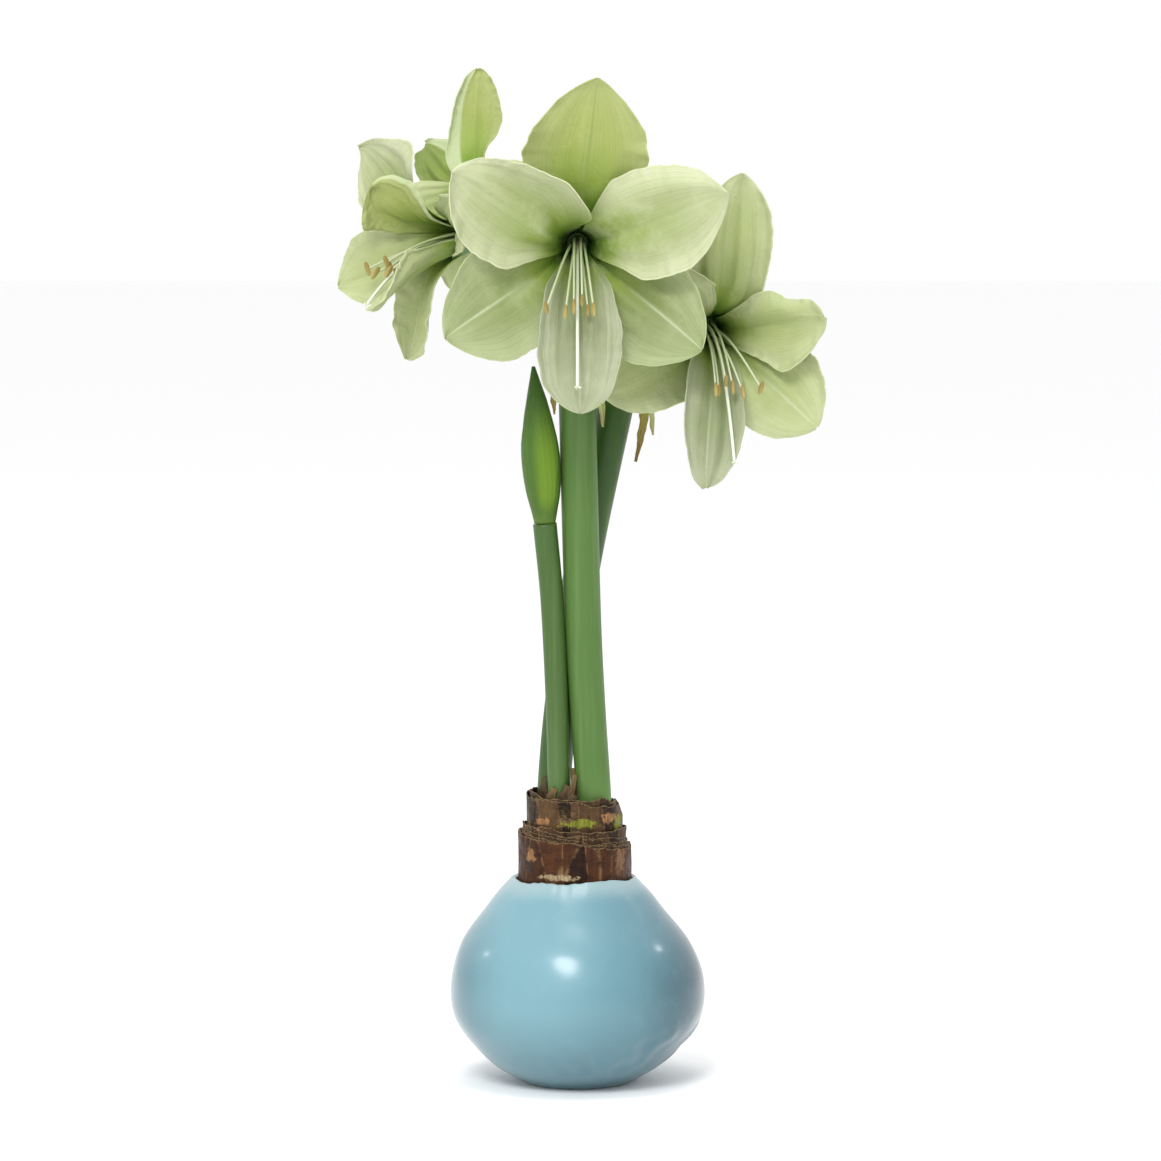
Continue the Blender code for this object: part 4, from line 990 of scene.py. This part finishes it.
def arc_out(start, end, forward, fall, curl, steps):
    """A filament's points in the bloom's frame: out along +Z, down along -Y, and its end curled up."""
    share = np.linspace(0, 1, steps)[:, None]
    drop = fall * share ** 2.3 - curl * share ** 6
    x = start[0] + (end[0] - start[0]) * share ** 1.6
    y = start[1] + (end[1] - start[1]) * share ** 1.6 - drop
    return np.hstack([x, y, start[2] + forward * share])


def anther(tip, run, turn_angle):
    """A grain-shaped anther with a furrow down its face, balanced across the end of its filament."""
    steps, sides = 15, 14
    share = np.linspace(-1, 1, steps)
    width = ANTHER_RADIUS * np.sqrt(np.clip(1 - np.abs(share) ** 2.6, 0.02, 1))[:, None]
    angle = round_angles(sides)
    furrow = 1 - 0.35 * np.exp(-((np.abs(np.cos(angle)) - 1) / 0.12) ** 2)
    local = point_list(width * furrow * np.cos(angle), width * np.sin(angle), ANTHER_LENGTH * share[:, None])
    slant = Vector(run).to_track_quat("Z", "Y").to_matrix().to_4x4() @ Matrix.Rotation(turn_angle, 4, "X")
    vertices = in_world(Matrix.Translation(Vector(tip)) @ slant, local)
    return vertices, tube_faces(steps, sides), ring_uvs(sides, (share + 1) / 2)


def stamens(name, bloom, filament_paint, pollen_paint, throat_paint):
    """Six drooping filaments with their anthers, on a ring round the foot of the style."""
    turn = bloom_frame(bloom)
    foot = CLEARANCE + FILAMENT_RADIUS
    ring_angle = np.linspace(0, 2 * math.pi, RING_STEPS + 1)
    circle = FILAMENT_CIRCLE * np.sin(ring_angle), FILAMENT_CIRCLE * np.cos(ring_angle)
    circle = point_list(*circle, foot + RING_SEAT)
    # the stamen ring takes the same throat green darkened as painted shade
    add_piece(f"{name}_ring", f"{name}_stamens", "pollen_tan", throat_paint,
              *rings(in_world(turn, circle), FILAMENT_RADIUS, SMALL_SIDES))
    filaments, grains = [], []
    for order, (beside, above) in enumerate(ANTHER_PLACES):
        angle = math.radians(30 + 60 * order) * bloom.fan
        start = (FILAMENT_CIRCLE * math.sin(angle), FILAMENT_CIRCLE * math.cos(angle), foot)
        forward = bloom.reach + STAMEN_STAGGER * math.sin(2.3 * order)
        end = (beside * bloom.fan, above)
        route = arc_out(start, end, forward, bloom.droop * 1.15, bloom.droop * 0.15, FILAMENT_STEPS)
        points = in_world(turn, route)
        radii = np.linspace(FILAMENT_RADIUS, FILAMENT_RADIUS * 0.55, FILAMENT_STEPS)
        filaments.append(rings(points, radii, FILAMENT_SIDES))
        grains.append(anther(points[-1], points[-1] - points[-2], 1.0 + 0.6 * math.sin(3.1 * order + 1)))
    add_piece(f"{name}_filaments", f"{name}_stamens", "pollen_tan", filament_paint, *several(*filaments))
    add_piece(f"{name}_anthers", f"{name}_stamens", "pollen_tan", pollen_paint, *several(*grains))


def pistil(name, bloom, paint):
    """The style, longer than the stamens, with its small lobed stigma."""
    turn = bloom_frame(bloom)
    forward = bloom.reach + STYLE_EXTRA
    start = (0, 0, 2 * CLEARANCE)
    route = arc_out(start, (0, 0), forward, bloom.droop * 2.6, bloom.droop * 0.1, STYLE_STEPS)
    points = in_world(turn, route)
    parts = [rings(points, np.linspace(STYLE_RADIUS, STYLE_RADIUS * 0.7, STYLE_STEPS), STYLE_SIDES)]
    run = Vector(points[-1] - points[-2]).normalized()
    for order in range(3):
        spread = run.orthogonal().normalized()
        spread.rotate(Matrix.Rotation(math.radians(120 * order), 3, run))
        share = np.linspace(0, 1, LOBE_STEPS + 1)[:, None]
        reach = share * 0.45 * LOBE_SPREAD * np.array(run) + share ** 1.4 * LOBE_SPREAD * np.array(spread)
        parts.append(rings(points[-1] - np.array(run) * LOBE_RADIUS + reach,
                           LOBE_RADIUS * np.sqrt(1.02 - share.ravel() ** 2), SMALL_SIDES))
    add_piece(f"{name}_style", f"{name}_pistil", "pollen_tan", paint, *several(*parts))


def build_neck():
    bare = tunic_paint("neck_skin", (0.1, 0.05, 0.025), (0.3, 0.2, 0.1), (0.4, 0.3, 0.12))
    for material_slot in frame["nodes"]["bulb"].material_slots:
        material_slot.material = bare
    orange, lime, cream = (0.36, 0.18, 0.075), (0.21, 0.225, 0.025), (0.4, 0.31, 0.18)
    papers = [
        tunic_paint("tunic_outer", (0.012, 0.004, 0.002), (0.072, 0.025, 0.008), (0.1, 0.045, 0.016), [
            (cream, (-0.0075, -0.0225, 0.0917), (0.009, 0.008, 0.0013)),
            (orange, (-0.0195, -0.014, 0.1), (0.0026, 0.004, 0.003)),
            ((0.2, 0.11, 0.055), (0.019, -0.015, 0.0985), (0.0028, 0.004, 0.007))]),
        tunic_paint("tunic_second", (0.014, 0.007, 0.003), (0.06, 0.033, 0.015), (0.1, 0.055, 0.025)),
        tunic_paint("tunic_middle", (0.014, 0.006, 0.003), (0.07, 0.036, 0.016), (0.13, 0.075, 0.03), [
            (orange, (-0.016, -0.016, 0.1085), (0.0042, 0.006, 0.003))]),
        tunic_paint("tunic_fourth", (0.01, 0.005, 0.002), (0.1, 0.054, 0.022), (0.2, 0.13, 0.055), [
            (orange, (-0.015, -0.015, 0.115), (0.0034, 0.006, 0.0016)),
            (lime, (0.002, -0.02, 0.1145), (0.0085, 0.006, 0.0017)),
            (lime, (0.0178, -0.009, 0.114), (0.003, 0.006, 0.0034)),
            (orange, (0.014, -0.015, 0.1165), (0.004, 0.006, 0.0024))]),
        tunic_paint("tunic_inner", (0.018, 0.009, 0.004), (0.12, 0.07, 0.032), (0.2, 0.13, 0.055)),
    ]
    for seed, (sleeve, paper) in enumerate(zip(TUNICS, papers)):
        tunic(seed, sleeve, paper)


def build_stems():
    """The three stems and the bud. Returns the green that the flower stalks share with the front stem."""
    greens = {name: scape_paint(f"scape_{name}", *tints) for name, tints in STEM_GREENS.items()}
    for name, green in greens.items():
        scape(name, green)
    bud(bud_paint())
    return greens["front"]


def build_dry_blades():
    brown = dry_paint("valve_brown", (0.24, 0.29, 0.05), (0.26, 0.22, 0.045), (0.19, 0.12, 0.035))
    pale_valve = dry_paint("valve_green", (0.34, 0.44, 0.14), (0.4, 0.48, 0.18), (0.34, 0.3, 0.12))
    husk = dry_paint("scale_brown", (0.03, 0.014, 0.005), (0.08, 0.042, 0.015), (0.16, 0.105, 0.042))
    dark_husk = dry_paint("scale_dark", (0.02, 0.01, 0.004), (0.045, 0.024, 0.01), (0.085, 0.055, 0.024))
    paints = {"valve_front_left": brown, "valve_front_right": pale_valve, "valve_back_right": brown,
              "valve_back_left": pale_valve, "scale_middle": husk, "scale_left": dark_husk}
    for seed, (name, blade) in enumerate(VALVES.items()):
        lance(name, name, *blade, 60 + seed, paints[name], BLADE_TIP)
    for seed, (name, blade) in enumerate(TUFT.items()):
        lance(name, "scale_middle", *blade, 80 + seed, dark_husk if seed % 2 else husk, TUFT_TIP)


def build_blooms(green):
    paints = {name: tepal_paint(name, *look) for name, look in PETAL_PAINTS.items()}
    plain = {name: plain_paint(name, *look) for name, look in PLAIN_PAINTS.items()}
    for seed, (name, bloom) in enumerate(BLOOMS.items()):
        stalk(name, bloom, green)
        tepals(name, bloom, 100 * (seed + 1), paints)
        throat(name, bloom, plain["throat_shaded_green"], plain["web_green"])
        stamens(name, bloom, plain["filament"], plain["pollen"], plain["throat_shaded_green"])
        pistil(name, bloom, plain["style"])


# Floor, lights and camera


def place_facing(name, data, place, direction):
    """Puts a light or the camera at a place and turns it to look along a direction."""
    holder = bpy.data.objects.new(name, data)
    holder.location = place
    holder.rotation_mode = "QUATERNION"
    holder.rotation_quaternion = direction.to_track_quat("-Z", "Y")
    bpy.context.scene.collection.objects.link(holder)
    return holder


def studio():
    floor_mesh = bpy.data.meshes.new("floor")
    corners = [(x * FLOOR_REACH, y * FLOOR_REACH, 0) for x, y in ((-1, -1), (1, -1), (1, 1), (-1, 1))]
    floor_mesh.from_pydata(corners, [], [(0, 1, 2, 3)])
    floor = bpy.data.objects.new("floor", floor_mesh)
    bpy.context.scene.collection.objects.link(floor)
    paint = Paint("floor", 0.9)
    paint.shader.inputs["Base Color"].default_value = (0.97, 0.97, 0.97, 1)
    floor_mesh.materials.append(paint.material)
    world = bpy.data.worlds.new("studio")
    world.use_nodes = True
    world.node_tree.nodes["Background"].inputs["Color"].default_value = (1, 1, 1, 1)
    world.node_tree.nodes["Background"].inputs["Strength"].default_value = 1.0
    bpy.context.scene.world = world
    for name, place, size, power, target in LIGHTS:
        lamp = bpy.data.lights.new(name, "AREA")
        lamp.energy = power
        lamp.shape = "DISK"
        lamp.size = size
        place_facing(name, lamp, place, Vector(target) - Vector(place))
    bpy.context.scene.view_settings.view_transform = "Standard"


def camera():
    lens = bpy.data.cameras.new("camera")
    lens.sensor_width = SENSOR_WIDTH
    lens.lens = SENSOR_WIDTH / 2 * CAMERA_DISTANCE / (PHOTO_HALF * PHOTO_PIXEL)
    aside, up = PHOTO_HALF - PHOTO_MIDDLE_X, PHOTO_FOOT_Y - PHOTO_HALF
    target = Vector((aside * PHOTO_PIXEL, 0, up * PHOTO_PIXEL))
    back = Vector((0, -math.cos(CAMERA_ELEVATION), math.sin(CAMERA_ELEVATION)))
    bpy.context.scene.camera = place_facing("camera", lens, target + back * CAMERA_DISTANCE, -back)


wax_coat()
build_neck()
stem_green = build_stems()
build_dry_blades()
build_blooms(stem_green)
studio()
camera()
